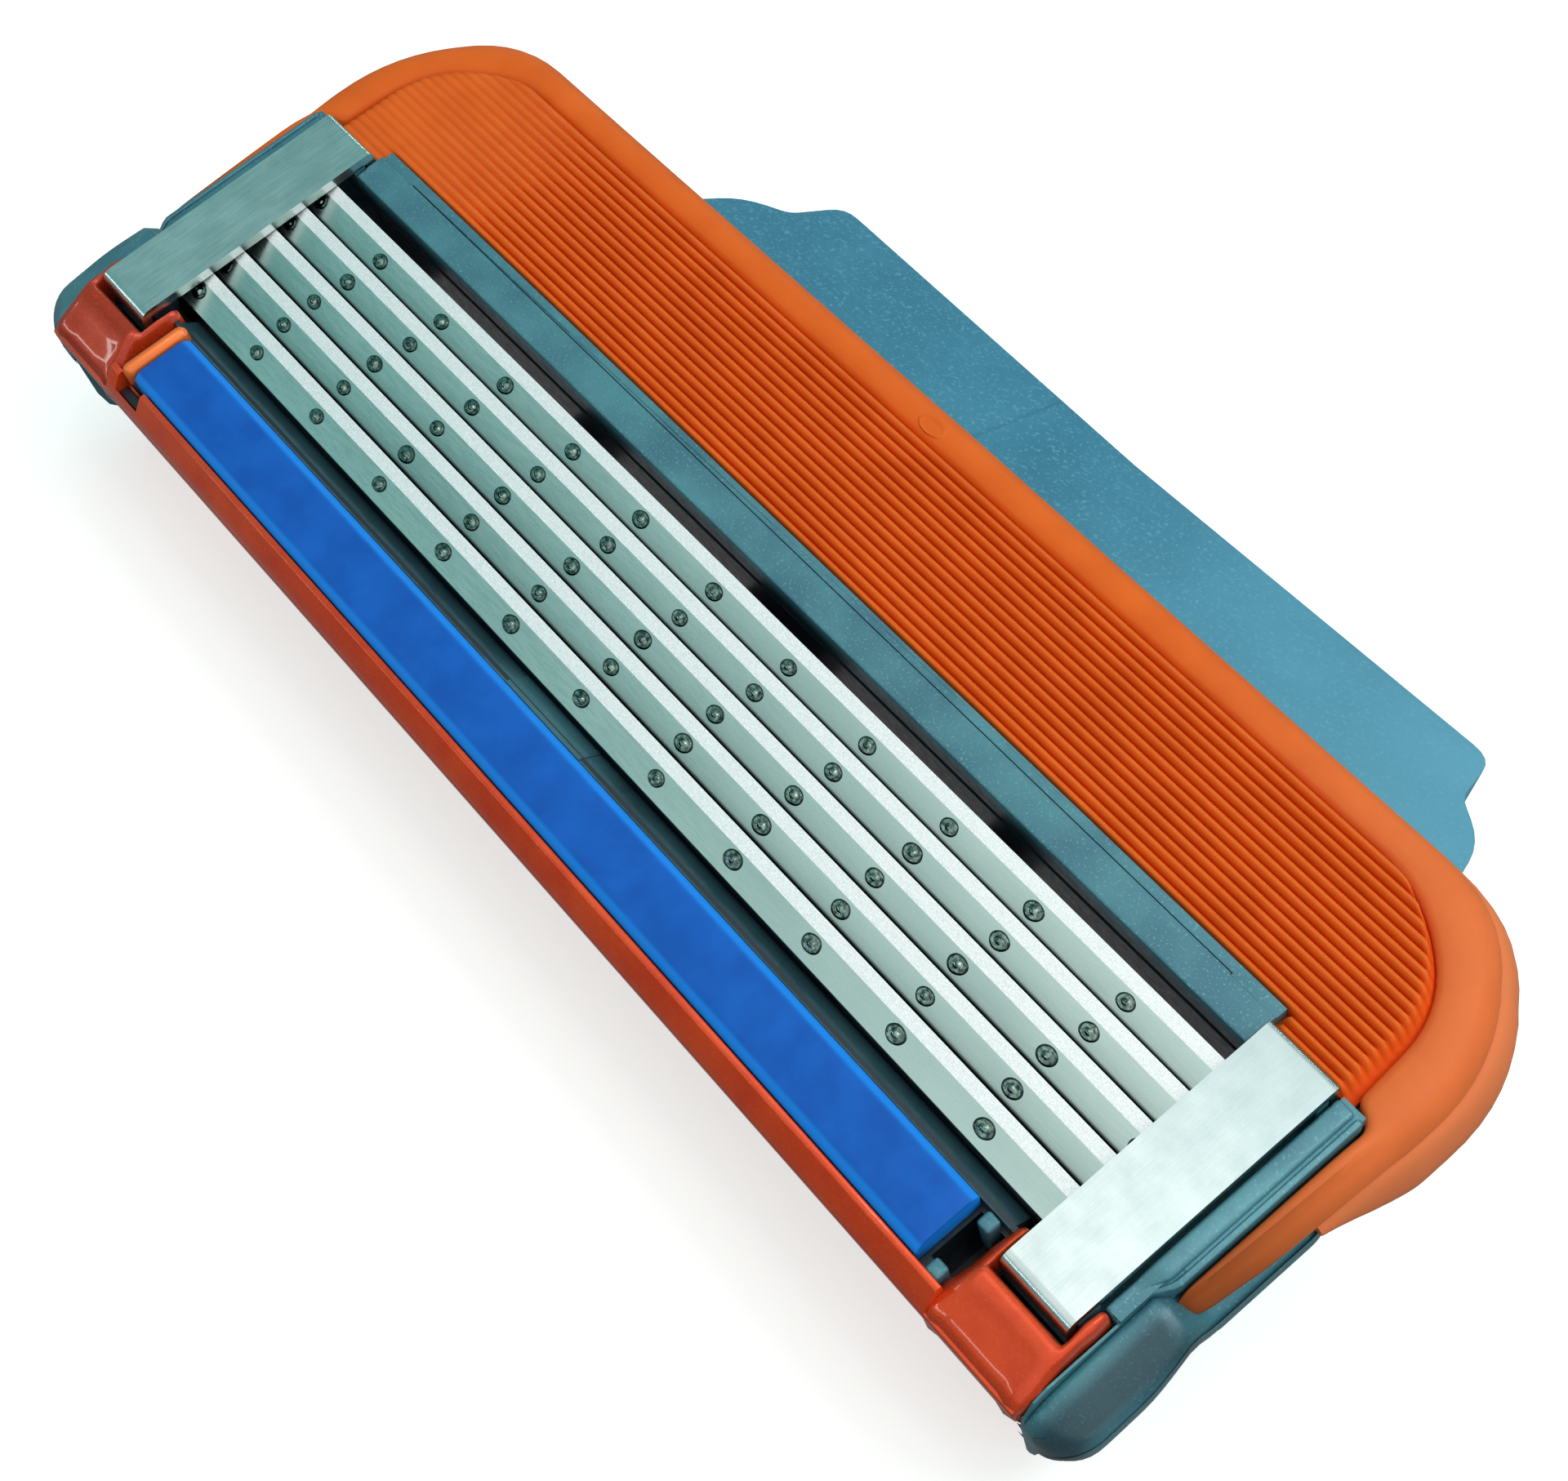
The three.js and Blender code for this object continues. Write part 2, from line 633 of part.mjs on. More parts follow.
function trimmerBladeSupport() {
  const top = HOUSING_BOTTOM - SLIP_GAP;
  const rear = -6.13;
  const front = -5;
  const section = shapeOf([
    [rear, -5.85],
    [rear + SUPPORT_THICKNESS, -5.85],
    [rear + SUPPORT_THICKNESS, top - SUPPORT_THICKNESS],
    [front, top - SUPPORT_THICKNESS],
    [front, top],
    [rear, top],
  ]);
  return solid(extrudeAlong(section, -16, 16));
}

// ---- Connector ----

// Half of the connector's outline behind the head, from the middle of its rear edge to its front.
function wingOutline() {
  return roundedShape([
    [0, HUB_REAR - 0.35],
    [13.4, HUB_REAR, 0.6],
    [13.9, 10.1, 0.3],
    [15.2, 9.2, 0.8],
    [ARM_OUTER_X, 5],
    [ARM_OUTER_X, HUB_FRONT],
    [0, HUB_FRONT],
  ]);
}

// An arm: a disc on the pivot's axis and a neck down to the hub's front.
function arm() {
  const neck = shapeOf([
    [-0.1, ARM_RADIUS - 0.05],
    [-0.6, -1.1],
    [HUB_FRONT + 0.1, NECK_BOTTOM],
    [HUB_FRONT + 1.5, NECK_BOTTOM],
    [HUB_FRONT + 1.5, HUB_TOP - 0.02],
    [HUB_FRONT + 0.2, HUB_TOP + 0.2],
    [0.9, ARM_RADIUS - 0.4],
  ]);
  return [
    rod(ARM_RADIUS, ARM_INNER_X, ARM_OUTER_X, 0, 0),
    rod(PIN_RADIUS, ARM_OUTER_X - 0.5, PIN_END_X, 0, 0),
    extrudeAlong(neck, ARM_INNER_X, ARM_OUTER_X),
  ];
}

function connector() {
  const wing = extrudeUp(wingOutline(), WING_BOTTOM, HUB_TOP, 4);
  const rear = HUB_REAR - 0.25;
  const core = shapeOf([
    [HUB_FRONT, WING_BOTTOM - 1],
    [HUB_FRONT + 0.8, -PIVOT_HEIGHT],
    [rear, -PIVOT_HEIGHT],
    [rear, HUB_TOP - 0.3],
    [HUB_FRONT, HUB_TOP - 0.3],
  ]);
  const whole = joined([
    ...bothEnds([wing, ...arm()]),
    extrudeAlong(core, -HUB_CORE_HALF_WIDTH, HUB_CORE_HALF_WIDTH),
  ]);
  const socket = box(
    -SOCKET_HALF_WIDTH,
    SOCKET_HALF_WIDTH,
    rear - SOCKET_DEPTH,
    HUB_REAR + 1,
    SOCKET_BOTTOM,
    SOCKET_TOP,
  );
  const plungerWindow = box(
    -PLUNGER_WINDOW_HALF_WIDTH,
    PLUNGER_WINDOW_HALF_WIDTH,
    HUB_FRONT - 1,
    rear - SOCKET_DEPTH + 0.5,
    SOCKET_BOTTOM + 0.8,
    SOCKET_TOP,
  );
  return cut(whole, [socket, plungerWindow]);
}

// ---- Assembly ----

const numbers = Array.from({ length: BLADE_COUNT }, (_, i) => i + 1);

const headParts = new THREE.Group();
headParts.position.set(0, -PIVOT.x, -PIVOT.y);
headParts.add(
  piece("housing", housing(), TEAL_PLASTIC),
  piece("guard_elastomer", guardElastomer(), ORANGE_RUBBER),
  piece("clip_left", clip(-1), CLIP_METAL),
  piece("clip_right", clip(1), CLIP_METAL),
  piece("lubricating_strip", lubricatingStrip(), BLUE_STRIP),
  piece("trimmer_cover", trimmerCover(), ORANGE_LACQUER),
  piece("trimmer_blade", trimmerBlade(), BLADE_STEEL),
  piece("trimmer_blade_support", trimmerBladeSupport(), SUPPORT_STEEL),
);
for (const n of numbers) {
  headParts.add(
    piece(`blade_${n}`, blade(n), BLADE_STEEL),
    piece(`blade_support_${n}`, bladeSupport(n), SUPPORT_STEEL),
    piece(`spring_finger_left_${n}`, springFinger(n, -1), TEAL_PLASTIC),
    piece(`spring_finger_right_${n}`, springFinger(n, 1), TEAL_PLASTIC),
  );
}

const head = new THREE.Group();
head.rotation.x = HEAD_TILT;
head.add(headParts);

const cartridge = new THREE.Group();
cartridge.position.z = PIVOT_HEIGHT;
cartridge.add(head, piece("connector", connector(), CONNECTOR_PLASTIC));

// The origin is on the ground under the middle of the whole cartridge.
const reach = new THREE.Box3().setFromObject(cartridge, true);
cartridge.position.y = -(reach.min.y + reach.max.y) / 2;

const razor = new THREE.Group();
razor.add(cartridge);

export default razor;
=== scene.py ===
"""The looks of a razor cartridge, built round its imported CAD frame.

Blender works in metres in the row frame. The head is drawn in its own frame, in millimetres: X along
the blades, +Y from the cap to the guard, +Z out of the shaving face, z = 0 at the blade edges.
"""

import json
import math
import random

import bmesh
import bpy
from mathutils import Matrix, Vector, noise

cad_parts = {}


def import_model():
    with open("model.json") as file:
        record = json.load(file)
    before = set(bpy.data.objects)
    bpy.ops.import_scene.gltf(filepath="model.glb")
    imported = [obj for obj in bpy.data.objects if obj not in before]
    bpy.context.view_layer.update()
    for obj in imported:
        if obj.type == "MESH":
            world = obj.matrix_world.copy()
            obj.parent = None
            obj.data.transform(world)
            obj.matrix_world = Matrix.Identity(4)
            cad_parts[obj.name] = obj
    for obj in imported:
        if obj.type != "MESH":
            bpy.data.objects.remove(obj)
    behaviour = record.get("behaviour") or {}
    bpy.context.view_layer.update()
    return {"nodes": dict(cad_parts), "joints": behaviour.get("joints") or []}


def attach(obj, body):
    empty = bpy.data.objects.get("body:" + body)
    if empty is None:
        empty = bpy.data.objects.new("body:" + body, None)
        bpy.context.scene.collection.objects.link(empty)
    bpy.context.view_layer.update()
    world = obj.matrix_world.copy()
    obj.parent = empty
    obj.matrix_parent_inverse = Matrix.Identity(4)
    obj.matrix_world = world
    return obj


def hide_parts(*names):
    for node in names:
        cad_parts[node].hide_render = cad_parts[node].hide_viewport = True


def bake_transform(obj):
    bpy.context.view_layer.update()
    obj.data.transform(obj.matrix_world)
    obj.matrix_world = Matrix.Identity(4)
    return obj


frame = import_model()

# ---- The head's own frame ----

MM = 0.001
PIVOT_IN_HEAD = Vector((0, 4, -3))
JOINTS = {joint["name"]: joint for joint in frame["joints"]}
SLIDE_AXIS = JOINTS["blade_slide_1"]["axis"]
TILT = math.atan2(-SLIDE_AXIS[1], SLIDE_AXIS[2])
HEAD = (
    Matrix.Translation(JOINTS["head_pivot"]["pos_m"])
    @ Matrix.Rotation(TILT, 4, "X")
    @ Matrix.Scale(MM, 4)
    @ Matrix.Translation(-PIVOT_IN_HEAD)
)
TO_HEAD = HEAD.inverted()
HEAD_TURN = HEAD.to_3x3().normalized()


class Span:
    """A CAD node's extent in the head's frame, in millimetres."""

    def __init__(self, node):
        points = [TO_HEAD @ v.co for v in frame["nodes"][node].data.vertices]
        self.x0, self.y0, self.z0 = (min(p[i] for p in points) for i in range(3))
        self.x1, self.y1, self.z1 = (max(p[i] for p in points) for i in range(3))


BLADE_COUNT = 5
BLADES = [Span(f"blade_{n}") for n in range(1, BLADE_COUNT + 1)]
CLIP = Span("clip_right")
STRIP = Span("lubricating_strip")
COVER = Span("trimmer_cover")
HOUSING = Span("housing")

BLADE_SLOPE = math.radians(20.5)
BLADE_WIDTH = 1.08
BLADE_THICKNESS = 0.1
BEVEL_WIDTH = 0.345

# ---- Materials ----

PARTING_LINE = -3.1  # the X of the connector's mould line
PARTING_WIDTH = 0.12
STUDIO_WHITE = (0.97, 1.0, 0.99, 1)


def srgb(code):
    """A colour written as 0xRRGGBB, as linear RGBA."""
    channels = [(code >> shift & 255) / 255 for shift in (16, 8, 0)]
    linear = [c / 12.92 if c <= 0.04045 else ((c + 0.055) / 1.055) ** 2.4 for c in channels]
    return (*linear, 1)


class Nodes:
    """Shorthands for building the node tree of a material or a world."""

    def __init__(self, owner):
        owner.use_nodes = True
        self.tree = owner.node_tree

    def node(self, kind, **settings):
        made = self.tree.nodes.new(kind)
        for name, value in settings.items():
            setattr(made, name, value)
        return made

    def join(self, output, socket):
        self.tree.links.new(output, socket)

    def ramp(self, value, low, high, to=(0, 1), **settings):
        node = self.node("ShaderNodeMapRange", **settings)
        for socket, number in zip(("From Min", "From Max", "To Min", "To Max"), (low, high, *to)):
            node.inputs[socket].default_value = number
        self.join(value, node.inputs["Value"])
        return node.outputs["Result"]

    def mix(self, share, a, b):
        """Colour a where share is 0 and b where it is 1; each is a colour or an output."""
        node = self.node("ShaderNodeMix", data_type="RGBA")
        self.join(share, node.inputs["Factor"])
        for socket, value in ((node.inputs[6], a), (node.inputs[7], b)):
            if isinstance(value, bpy.types.NodeSocket):
                self.join(value, socket)
            else:
                socket.default_value = value
        return node.outputs[2]


class Look(Nodes):
    """A material with one Principled shader, and shorthands for what varies over it."""

    def __init__(self, name, **sockets):
        self.material = bpy.data.materials.new(name)
        super().__init__(self.material)
        self.shader = self.tree.nodes["Principled BSDF"]
        for socket, value in sockets.items():
            self.shader.inputs[socket.replace("_", " ")].default_value = value
        place = self.node("ShaderNodeTexCoord").outputs["Object"]
        self.mm = self.moved(place, rotation=(-TILT, 0, 0), scale=(1 / MM,) * 3)

    def moved(self, vector, rotation=(0, 0, 0), scale=(1, 1, 1)):
        node = self.node("ShaderNodeMapping")
        node.inputs["Rotation"].default_value = rotation
        node.inputs["Scale"].default_value = scale
        self.join(vector, node.inputs["Vector"])
        return node.outputs["Vector"]

    def noise(self, size, detail=3, stretch=(1, 1, 1), roughness=0.55):
        """Noise whose features are about size millimetres across, times the stretch."""
        node = self.node("ShaderNodeTexNoise")
        node.inputs["Scale"].default_value = 1 / size
        node.inputs["Detail"].default_value = detail
        node.inputs["Roughness"].default_value = roughness
        scaled = self.moved(self.mm, scale=tuple(1 / s for s in stretch))
        self.join(scaled, node.inputs["Vector"])
        return node.outputs["Fac"]

    def cells(self, size):
        node = self.node("ShaderNodeTexVoronoi")
        node.inputs["Scale"].default_value = 1 / size
        self.join(self.mm, node.inputs["Vector"])
        return node.outputs["Color"]

    def attribute(self, name):
        return self.node("ShaderNodeAttribute", attribute_name=name).outputs["Fac"]

    def along(self, low, high, to):
        """Rises along the part's X, in millimetres."""
        parts = self.node("ShaderNodeSeparateXYZ")
        self.join(self.mm, parts.inputs["Vector"])
        return self.ramp(parts.outputs["X"], low, high, to)

    def toned(self, name, base, code):
        """The base colour, turning to the code's colour where the attribute says."""
        return self.mix(self.attribute(name), base, srgb(code))

    def cloud(self, size, low, high, code_a, code_b):
        """Two colours in soft patches of the given size."""
        return self.mix(self.ramp(self.noise(size), low, high), srgb(code_a), srgb(code_b))

    def colour(self, output):
        self.join(output, self.shader.inputs["Base Color"])

    def roughness(self, value, low, high):
        """Roughness between low and high, as the value goes from 0.3 to 0.7."""
        self.join(self.ramp(value, 0.3, 0.7, (low, high)), self.shader.inputs["Roughness"])

    def texture(self, rough, low, high, relief, depth, strength):
        """Roughness and relief, each from an output."""
        self.roughness(rough, low, high)
        self.bump(relief, depth, strength)
        return self.material

    def bump(self, height, depth, strength):
        """Relief of depth millimetres."""
        node = self.node("ShaderNodeBump")
        node.inputs["Strength"].default_value = strength
        node.inputs["Distance"].default_value = depth * MM
        self.join(height, node.inputs["Height"])
        self.join(node.outputs["Normal"], self.shader.inputs["Normal"])


def housing_plastic():
    look = Look("housing_plastic", Metallic=0.28, Coat_Weight=0.12, Coat_Roughness=0.2)
    base = look.cloud(2.2, 0.35, 0.65, 0x3A6C7B, 0x4A838D)
    fleck = look.ramp(look.noise(0.07, detail=1), 0.6, 0.74)
    pearl = look.mix(fleck, base, srgb(0x5A949A))
    # Painted shade: near-black teal where the shade attribute says, in hollows and gaps where shade
    # falls, and as a painted dark reflection on the right lobe.
    look.colour(look.toned("shade", pearl, 0x16262F))
    return look.texture(look.noise(0.3), 0.28, 0.44, look.noise(0.09), 0.008, 0.35)


def guard_rubber():
    look = Look(
        "guard_rubber",
        Specular_IOR_Level=0.16,
        Subsurface_Weight=0.1,
        Subsurface_Radius=(1.0, 0.3, 0.1),
        Subsurface_Scale=0.35 * MM,
    )
    cloud = look.ramp(look.noise(1.6), 0.3, 0.7)
    crest = look.mix(cloud, srgb(0xCC5814), srgb(0xD6611B))
    valley = look.mix(cloud, srgb(0xD04204), srgb(0xDA4A08))
    # Painted shade: the fins' valleys and the groove round them are painted a deeper, darker red, as
    # shade falls there.
    ribbed = look.mix(look.attribute("depth"), crest, valley)
    # Painted light: paler towards the lit right end; the lip is also painted paler all along.
    rubber = look.toned("paleness_and_light", ribbed, 0xD98A60)
    # Painted shade: darker brown towards the guard's tip, where the band turns away from the light.
    look.colour(look.toned("tip", rubber, 0x94481C))
    return look.texture(look.noise(0.2), 0.42, 0.56, look.noise(0.05), 0.006, 0.4)


def clip_metal():
    look = Look("clip_metal", Metallic=1.0)
    scratch = look.noise(0.035, detail=4, stretch=(1, 30, 1))
    sheet = look.cloud(0.8, 0.3, 0.7, 0xC0CECC, 0xD4E0DE)
    # Painted shade: the sheet is painted greyer towards the guard end, most on the right clip.
    look.colour(look.toned("painted_clip_shade", sheet, 0x8FA5A6))
    return look.texture(scratch, 0.18, 0.3, scratch, 0.003, 0.22)


def strip_polymer():
    look = Look("strip_polymer", Specular_IOR_Level=0.16)
    face = look.cloud(1.1, 0.35, 0.65, 0x0A4FA5, 0x0E5AB4)
    # Painted highlight: the chamfers along the long edges are painted a lighter blue.
    look.colour(look.toned("edge", face, 0x147CDA))
    return look.texture(look.noise(0.15), 0.42, 0.6, look.noise(0.06), 0.006, 0.5)


def cover_lacquer():
    look = Look(
        "cover_lacquer",
        Metallic=0.35,
        Specular_IOR_Level=0.2,
        Coat_Weight=0.8,
        Coat_Roughness=0.06,
        Coat_IOR=1.35,
    )
    flake = look.cells(0.03)
    base = look.cloud(1.3, 0.3, 0.7, 0xCC3A12, 0xDC4A1A)
    # Painted shade: darker red on the left corner block and low on the corner blocks.
    toned = look.toned("painted_shade", base, 0x7E1C0C)
    # Painted light: the bar across the strip's end is painted a paler, brighter orange.
    with_painted_light = look.toned("painted_light", toned, 0xF58A40)
    look.colour(look.mix(look.ramp(flake, 0.7, 1.5), with_painted_light, srgb(0xF47038)))
    look.join(look.ramp(flake, 0, 1, (0.26, 0.36)), look.shader.inputs["Roughness"])
    look.bump(look.noise(0.3), 0.008, 0.2)
    return look.material


def blade_flat():
    look = Look("blade_flat", Metallic=1.0)
    grain = look.noise(0.05, detail=3, stretch=(12, 1, 1))
    tone = look.ramp(look.noise(2.5, stretch=(3, 1, 1)), 0.3, 0.7)
    steel = look.mix(tone, srgb(0xB8CDC7), srgb(0xCBDDD7))
    look.colour(look.toned("shade", steel, 0x16201F))
    return look.texture(grain, 0.24, 0.34, grain, 0.003, 0.2)


def blade_bevel():
    look = Look("blade_bevel", Metallic=0.8)
    speck = look.noise(0.035, detail=2)
    look.colour(look.mix(look.ramp(speck, 0.35, 0.65), srgb(0xE2E8E6), srgb(0xFFFFFF)))
    return look.texture(speck, 0.4, 0.6, speck, 0.006, 0.6)


def weld_spot():
    look = Look("weld_spot", Metallic=1.0)
    mottle = look.ramp(look.noise(0.1, detail=3), 0.35, 0.65)
    centre = look.mix(mottle, srgb(0x2A413F), srgb(0x93A89C))
    look.colour(look.toned("edge", centre, 0x121D1F))
    return look.texture(look.noise(0.06), 0.06, 0.14, look.noise(0.09), 0.01, 0.6)


def support_steel():
    look = Look("support_steel", Metallic=1.0)
    grain = look.noise(0.06, detail=4, stretch=(20, 1, 1))
    # Painted shade: the supports are coloured near-black, as they show only in the shade of the deep
    # gaps.
    look.colour(look.mix(look.ramp(grain, 0.3, 0.7), srgb(0x14191B), srgb(0x23292B)))
    return look.texture(grain, 0.3, 0.48, grain, 0.004, 0.3)


def connector_plastic():
    """Painted light: lighter towards its right end, where the light falls, with a fine parting line
    near the middle.
    """
    look = Look("connector_plastic", Specular_IOR_Level=0.3)
    base = look.cloud(4.0, 0.3, 0.7, 0x2F6C85, 0x3D7D97)
    lit = look.mix(look.along(-2.0, 13.0, (0, 0.45)), base, srgb(0x6FAEC4))
    before = look.along(PARTING_LINE - PARTING_WIDTH, PARTING_LINE, (0, 0.3))
    after = look.along(PARTING_LINE, PARTING_LINE + PARTING_WIDTH, (0, 0.3))
    line = look.node("ShaderNodeMath", operation="SUBTRACT")
    look.join(before, line.inputs[0])
    look.join(after, line.inputs[1])
    lined = look.mix(line.outputs[0], lit, srgb(0x1A4152))
    fleck = look.ramp(look.noise(0.12, detail=2), 0.55, 0.75)
    look.colour(look.mix(fleck, lined, srgb(0x5B9BB2)))
    return look.texture(look.noise(0.4), 0.42, 0.56, look.noise(0.1), 0.008, 0.4)


def floor_paper():
    """A back-lit pale table: it casts some light of its own, so shadows on it stay faint."""
    look = Look("floor_paper", Roughness=0.9, Emission_Color=STUDIO_WHITE, Emission_Strength=0.6)
    look.colour(look.cloud(30.0, 0.3, 0.7, 0xC2C5C4, 0xC8CBC9))
    return look.material


LOOKS = {
    "housing_plastic": housing_plastic(),
    "guard_rubber": guard_rubber(),
    "clip_metal": clip_metal(),
    "strip_polymer": strip_polymer(),
    "cover_lacquer": cover_lacquer(),
    "blade_steel": blade_flat(),
    "support_steel": support_steel(),
    "connector_plastic": connector_plastic(),
}
BLADE_BEVEL = blade_bevel()
WELD_SPOT = weld_spot()

# ---- Mesh helpers ----

SHARP = 38  # degrees between two faces
ALL_SMOOTH = 172


def added(thing):
    """Puts the object in the scene."""
    bpy.context.scene.collection.objects.link(thing)
    return thing


def mesh_from(name, bm):
    mesh = bpy.data.meshes.new(name)
    bm.to_mesh(mesh)
    bm.free()
    return mesh


def end_name(side):
    return "right" if side > 0 else "left"


def angles(turns):
    return [2 * math.pi * turn / turns for turn in range(turns)]


def smoothstep(value, low, high):
    t = min(1, max(0, (value - low) / (high - low)))
    return t * t * (3 - 2 * t)


def lerp(a, b, t):
    return a + (b - a) * t


def rounded(steps, *points):
    """A closed outline with each corner rounded: points are [x, y, radius]."""
    outline = []
    for i, (x, y, *rest) in enumerate(points):
        radius = rest[0] if rest else 0
        corner = Vector((x, y))
        if not radius:
            outline.append(corner)
            continue
        before = Vector(points[i - 1][:2]) - corner
        after = Vector(points[(i + 1) % len(points)][:2]) - corner
        start = corner + before.normalized() * radius
        end = corner + after.normalized() * radius
        for step in range(steps + 1):
            t = step / steps
            outline.append(start.lerp(corner, t).lerp(corner.lerp(end, t), t))
    return outline


def finish_mesh(name, bm, body, slot, nodes=(), materials=None, sharp=SHARP):
    """Makes the piece from a mesh drawn in the head's millimetres, and fastens it to its body."""
    bmesh.ops.remove_doubles(bm, verts=bm.verts, dist=1e-5)
    bmesh.ops.recalc_face_normals(bm, faces=bm.faces)
    bm.transform(HEAD)
    mesh = mesh_from(name, bm)
    mesh.validate()
    mesh.shade_smooth()
    mesh.set_sharp_from_angle(angle=math.radians(sharp))
    for material in materials or [LOOKS[slot]]:
        mesh.materials.append(material)
    piece = added(bpy.data.objects.new(name, mesh))
    if body:
        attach(piece, body)
    if nodes:
        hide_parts(*nodes)
    return piece


def head_piece(name, bm, slot, nodes=(), sharp=SHARP):
    return finish_mesh(name, bm, "head", slot, nodes, sharp=sharp)


def loft(bm, sections):
    """Joins closed sections of equal length into a tube, with flat caps at its two ends."""
    rings = [[bm.verts.new(p) for p in section] for section in sections]
    for ring, after in zip(rings, rings[1:]):
        for i in range(len(ring)):
            j = (i + 1) % len(ring)
            bm.faces.new((ring[i], ring[j], after[j], after[i]))
    bm.faces.new(list(reversed(rings[0])))
    bm.faces.new(rings[-1])


def lofted(sections):
    bm = bmesh.new()
    loft(bm, sections)
    return bm


def along_x(outline, stations):
    """A closed outline in Y and Z, placed at each X."""
    return [[Vector((x, p[0], p[1])) for p in outline] for x in stations]


def soft_ends(low, high, inset, steps=3):
    """Stations along an axis with rounded ends, as (position, how far drawn in)."""
    quarter = [math.pi / 2 * i / steps for i in range(steps + 1)]
    turn = [(1 - math.cos(angle), 1 - math.sin(angle)) for angle in quarter]
    start = [(low + inset * a, inset * b) for a, b in turn]
    end = [(high - inset * a, inset * b) for a, b in reversed(turn)]
    return start + end


def drawn_in(outline, by):
    """A closed outline moved inwards along its corners' bisectors."""
    count = len(outline)
    area = sum(a[0] * b[1] - b[0] * a[1] for a, b in zip(outline, outline[1:] + outline[:1]))
    turn = 1 if area > 0 else -1
    result = []
    for i in range(count):
        along = (outline[(i + 1) % count] - outline[i - 1]).normalized()
        result.append(outline[i] + Vector((-along[1], along[0])) * by * turn)
    return result


def bevel_edges(bm, width, segments=2, degrees=30):
    sharpest = math.radians(degrees)
    edges = [e for e in bm.edges if e.is_manifold and e.calc_face_angle(0) > sharpest]
    how = {"profile": 0.5, "affect": "EDGES", "clamp_overlap": True}
    bmesh.ops.bevel(bm, geom=edges, offset=width, segments=segments, **how)


def block(bm, x0, x1, y0, y1, z0, z1):
    centre = Matrix.Translation(((x0 + x1) / 2, (y0 + y1) / 2, (z0 + z1) / 2))
    size = Matrix.Diagonal((x1 - x0, y1 - y0, z1 - z0, 1))
    bmesh.ops.create_cube(bm, size=1, matrix=centre @ size)


def side_block(bm, side, x0, x1, y0, y1, z0, z1):
    """A block from x0 to x1 on one side of the head."""
    block(bm, *sorted((side * x0, side * x1)), y0, y1, z0, z1)


def set_values(piece, name, values):
    attribute = piece.data.attributes.new(name, "FLOAT", "POINT")
    attribute.data.foreach_set("value", values)


def values_from(piece, name, rule):
    """Stores rule(point in the head's frame) on each vertex of the piece."""
    set_values(piece, name, [rule(TO_HEAD @ v.co) for v in piece.data.vertices])


def join_flat(bm, degrees=1):
    """Joins the faces that lie in one plane."""
    limit = math.radians(degrees)
    bmesh.ops.dissolve_limit(bm, angle_limit=limit, verts=bm.verts, edges=bm.edges)


def cad_mesh(node, joined=True):
    """A CAD node's solid, with its triangles joined back into flat faces if asked."""
    bm = bmesh.new()
    bm.from_mesh(frame["nodes"][node].data)
    bm.transform(TO_HEAD)
    bmesh.ops.remove_doubles(bm, verts=bm.verts, dist=0.0002)
    if joined:
        join_flat(bm)
    return bm


def connector_hub():
    """The connector's solid with its edges rounded over, as a moulding's are."""
    bm = cad_mesh("connector")
    bevel_edges(bm, 0.16, 3, 24)
    finish_mesh("connector_hub", bm, "connector", "connector_plastic", ["connector"], sharp=50)


# ---- Blades ----

FLAT_STATIONS = 40
REAR_SHADE = (0.92, 0.99)  # how far behind the edge a flat darkens, in its neighbour's shadow


def on_blade(n, back, above):
    """A point in Y and Z of blade n's section: behind its edge, and above its mid-plane."""
    blade = BLADES[n - 1]
    y = blade.y1 - back * math.cos(BLADE_SLOPE) - above * math.sin(BLADE_SLOPE)
    z = -back * math.sin(BLADE_SLOPE) + above * math.cos(BLADE_SLOPE)
    return Vector((y, z))


def ground_blade(n):
    half = BLADE_THICKNESS / 2
    rim = 0.02
    outline = (
        (0, 0), (BEVEL_WIDTH, half), (BEVEL_WIDTH + rim, half), (REAR_SHADE[0], half),
        (REAR_SHADE[1], half), (BLADE_WIDTH - rim, half), (BLADE_WIDTH, half - rim),
        (BLADE_WIDTH, -half + rim), (BLADE_WIDTH - rim, -half), (BEVEL_WIDTH, -half),
    )
    section = [on_blade(n, back, above) for back, above in outline]
    blade = BLADES[n - 1]
    stations = [lerp(blade.x0, blade.x1, i / FLAT_STATIONS) for i in range(FLAT_STATIONS + 1)]
    bm = lofted(along_x(section, stations))
    edge, heel = (on_blade(n, back, 0)[0] for back in (0, BEVEL_WIDTH + rim / 2))
    for face in bm.faces:
        on_bevel = heel < face.calc_center_median().y < edge
        face.material_index = 1 if on_bevel else 0
    name, body, nodes = f"ground_blade_{n}", f"blade_unit_{n}", [f"blade_{n}"]
    looks = [LOOKS["blade_steel"], BLADE_BEVEL]
    piece = finish_mesh(name, bm, body, "blade_steel", nodes, looks, sharp=4)
    reach = [(blade.y1 - edge * math.cos(BLADE_SLOPE)) for edge in REAR_SHADE]
    deepest = 1 if n < BLADE_COUNT else 0
    values_from(piece, "shade", lambda p: deepest * smoothstep(reach[0] - p.y, 0, reach[0] - reach[1]))


WELD_COUNT = 13
WELD_PITCH = 2.925
FIRST_WELDS = (-17.405, -17.435, -17.595, -17.515, -17.295)
WELD_BACK = 0.63
WELD_HALF_LENGTH = 0.28
WELD_HALF_WIDTH = 0.22
WELD_TURNS = 22
WELD_END_GAP = 0.7
WELD_SEED = 40
# The weld's profile from its middle out: share of the radius, and height above the blade.
WELD_PROFILE = ((0.14, 0.078), (0.34, 0.052), (0.54, 0.02), (0.72, 0.046), (0.88, 0.03), (1.0, -0.004))


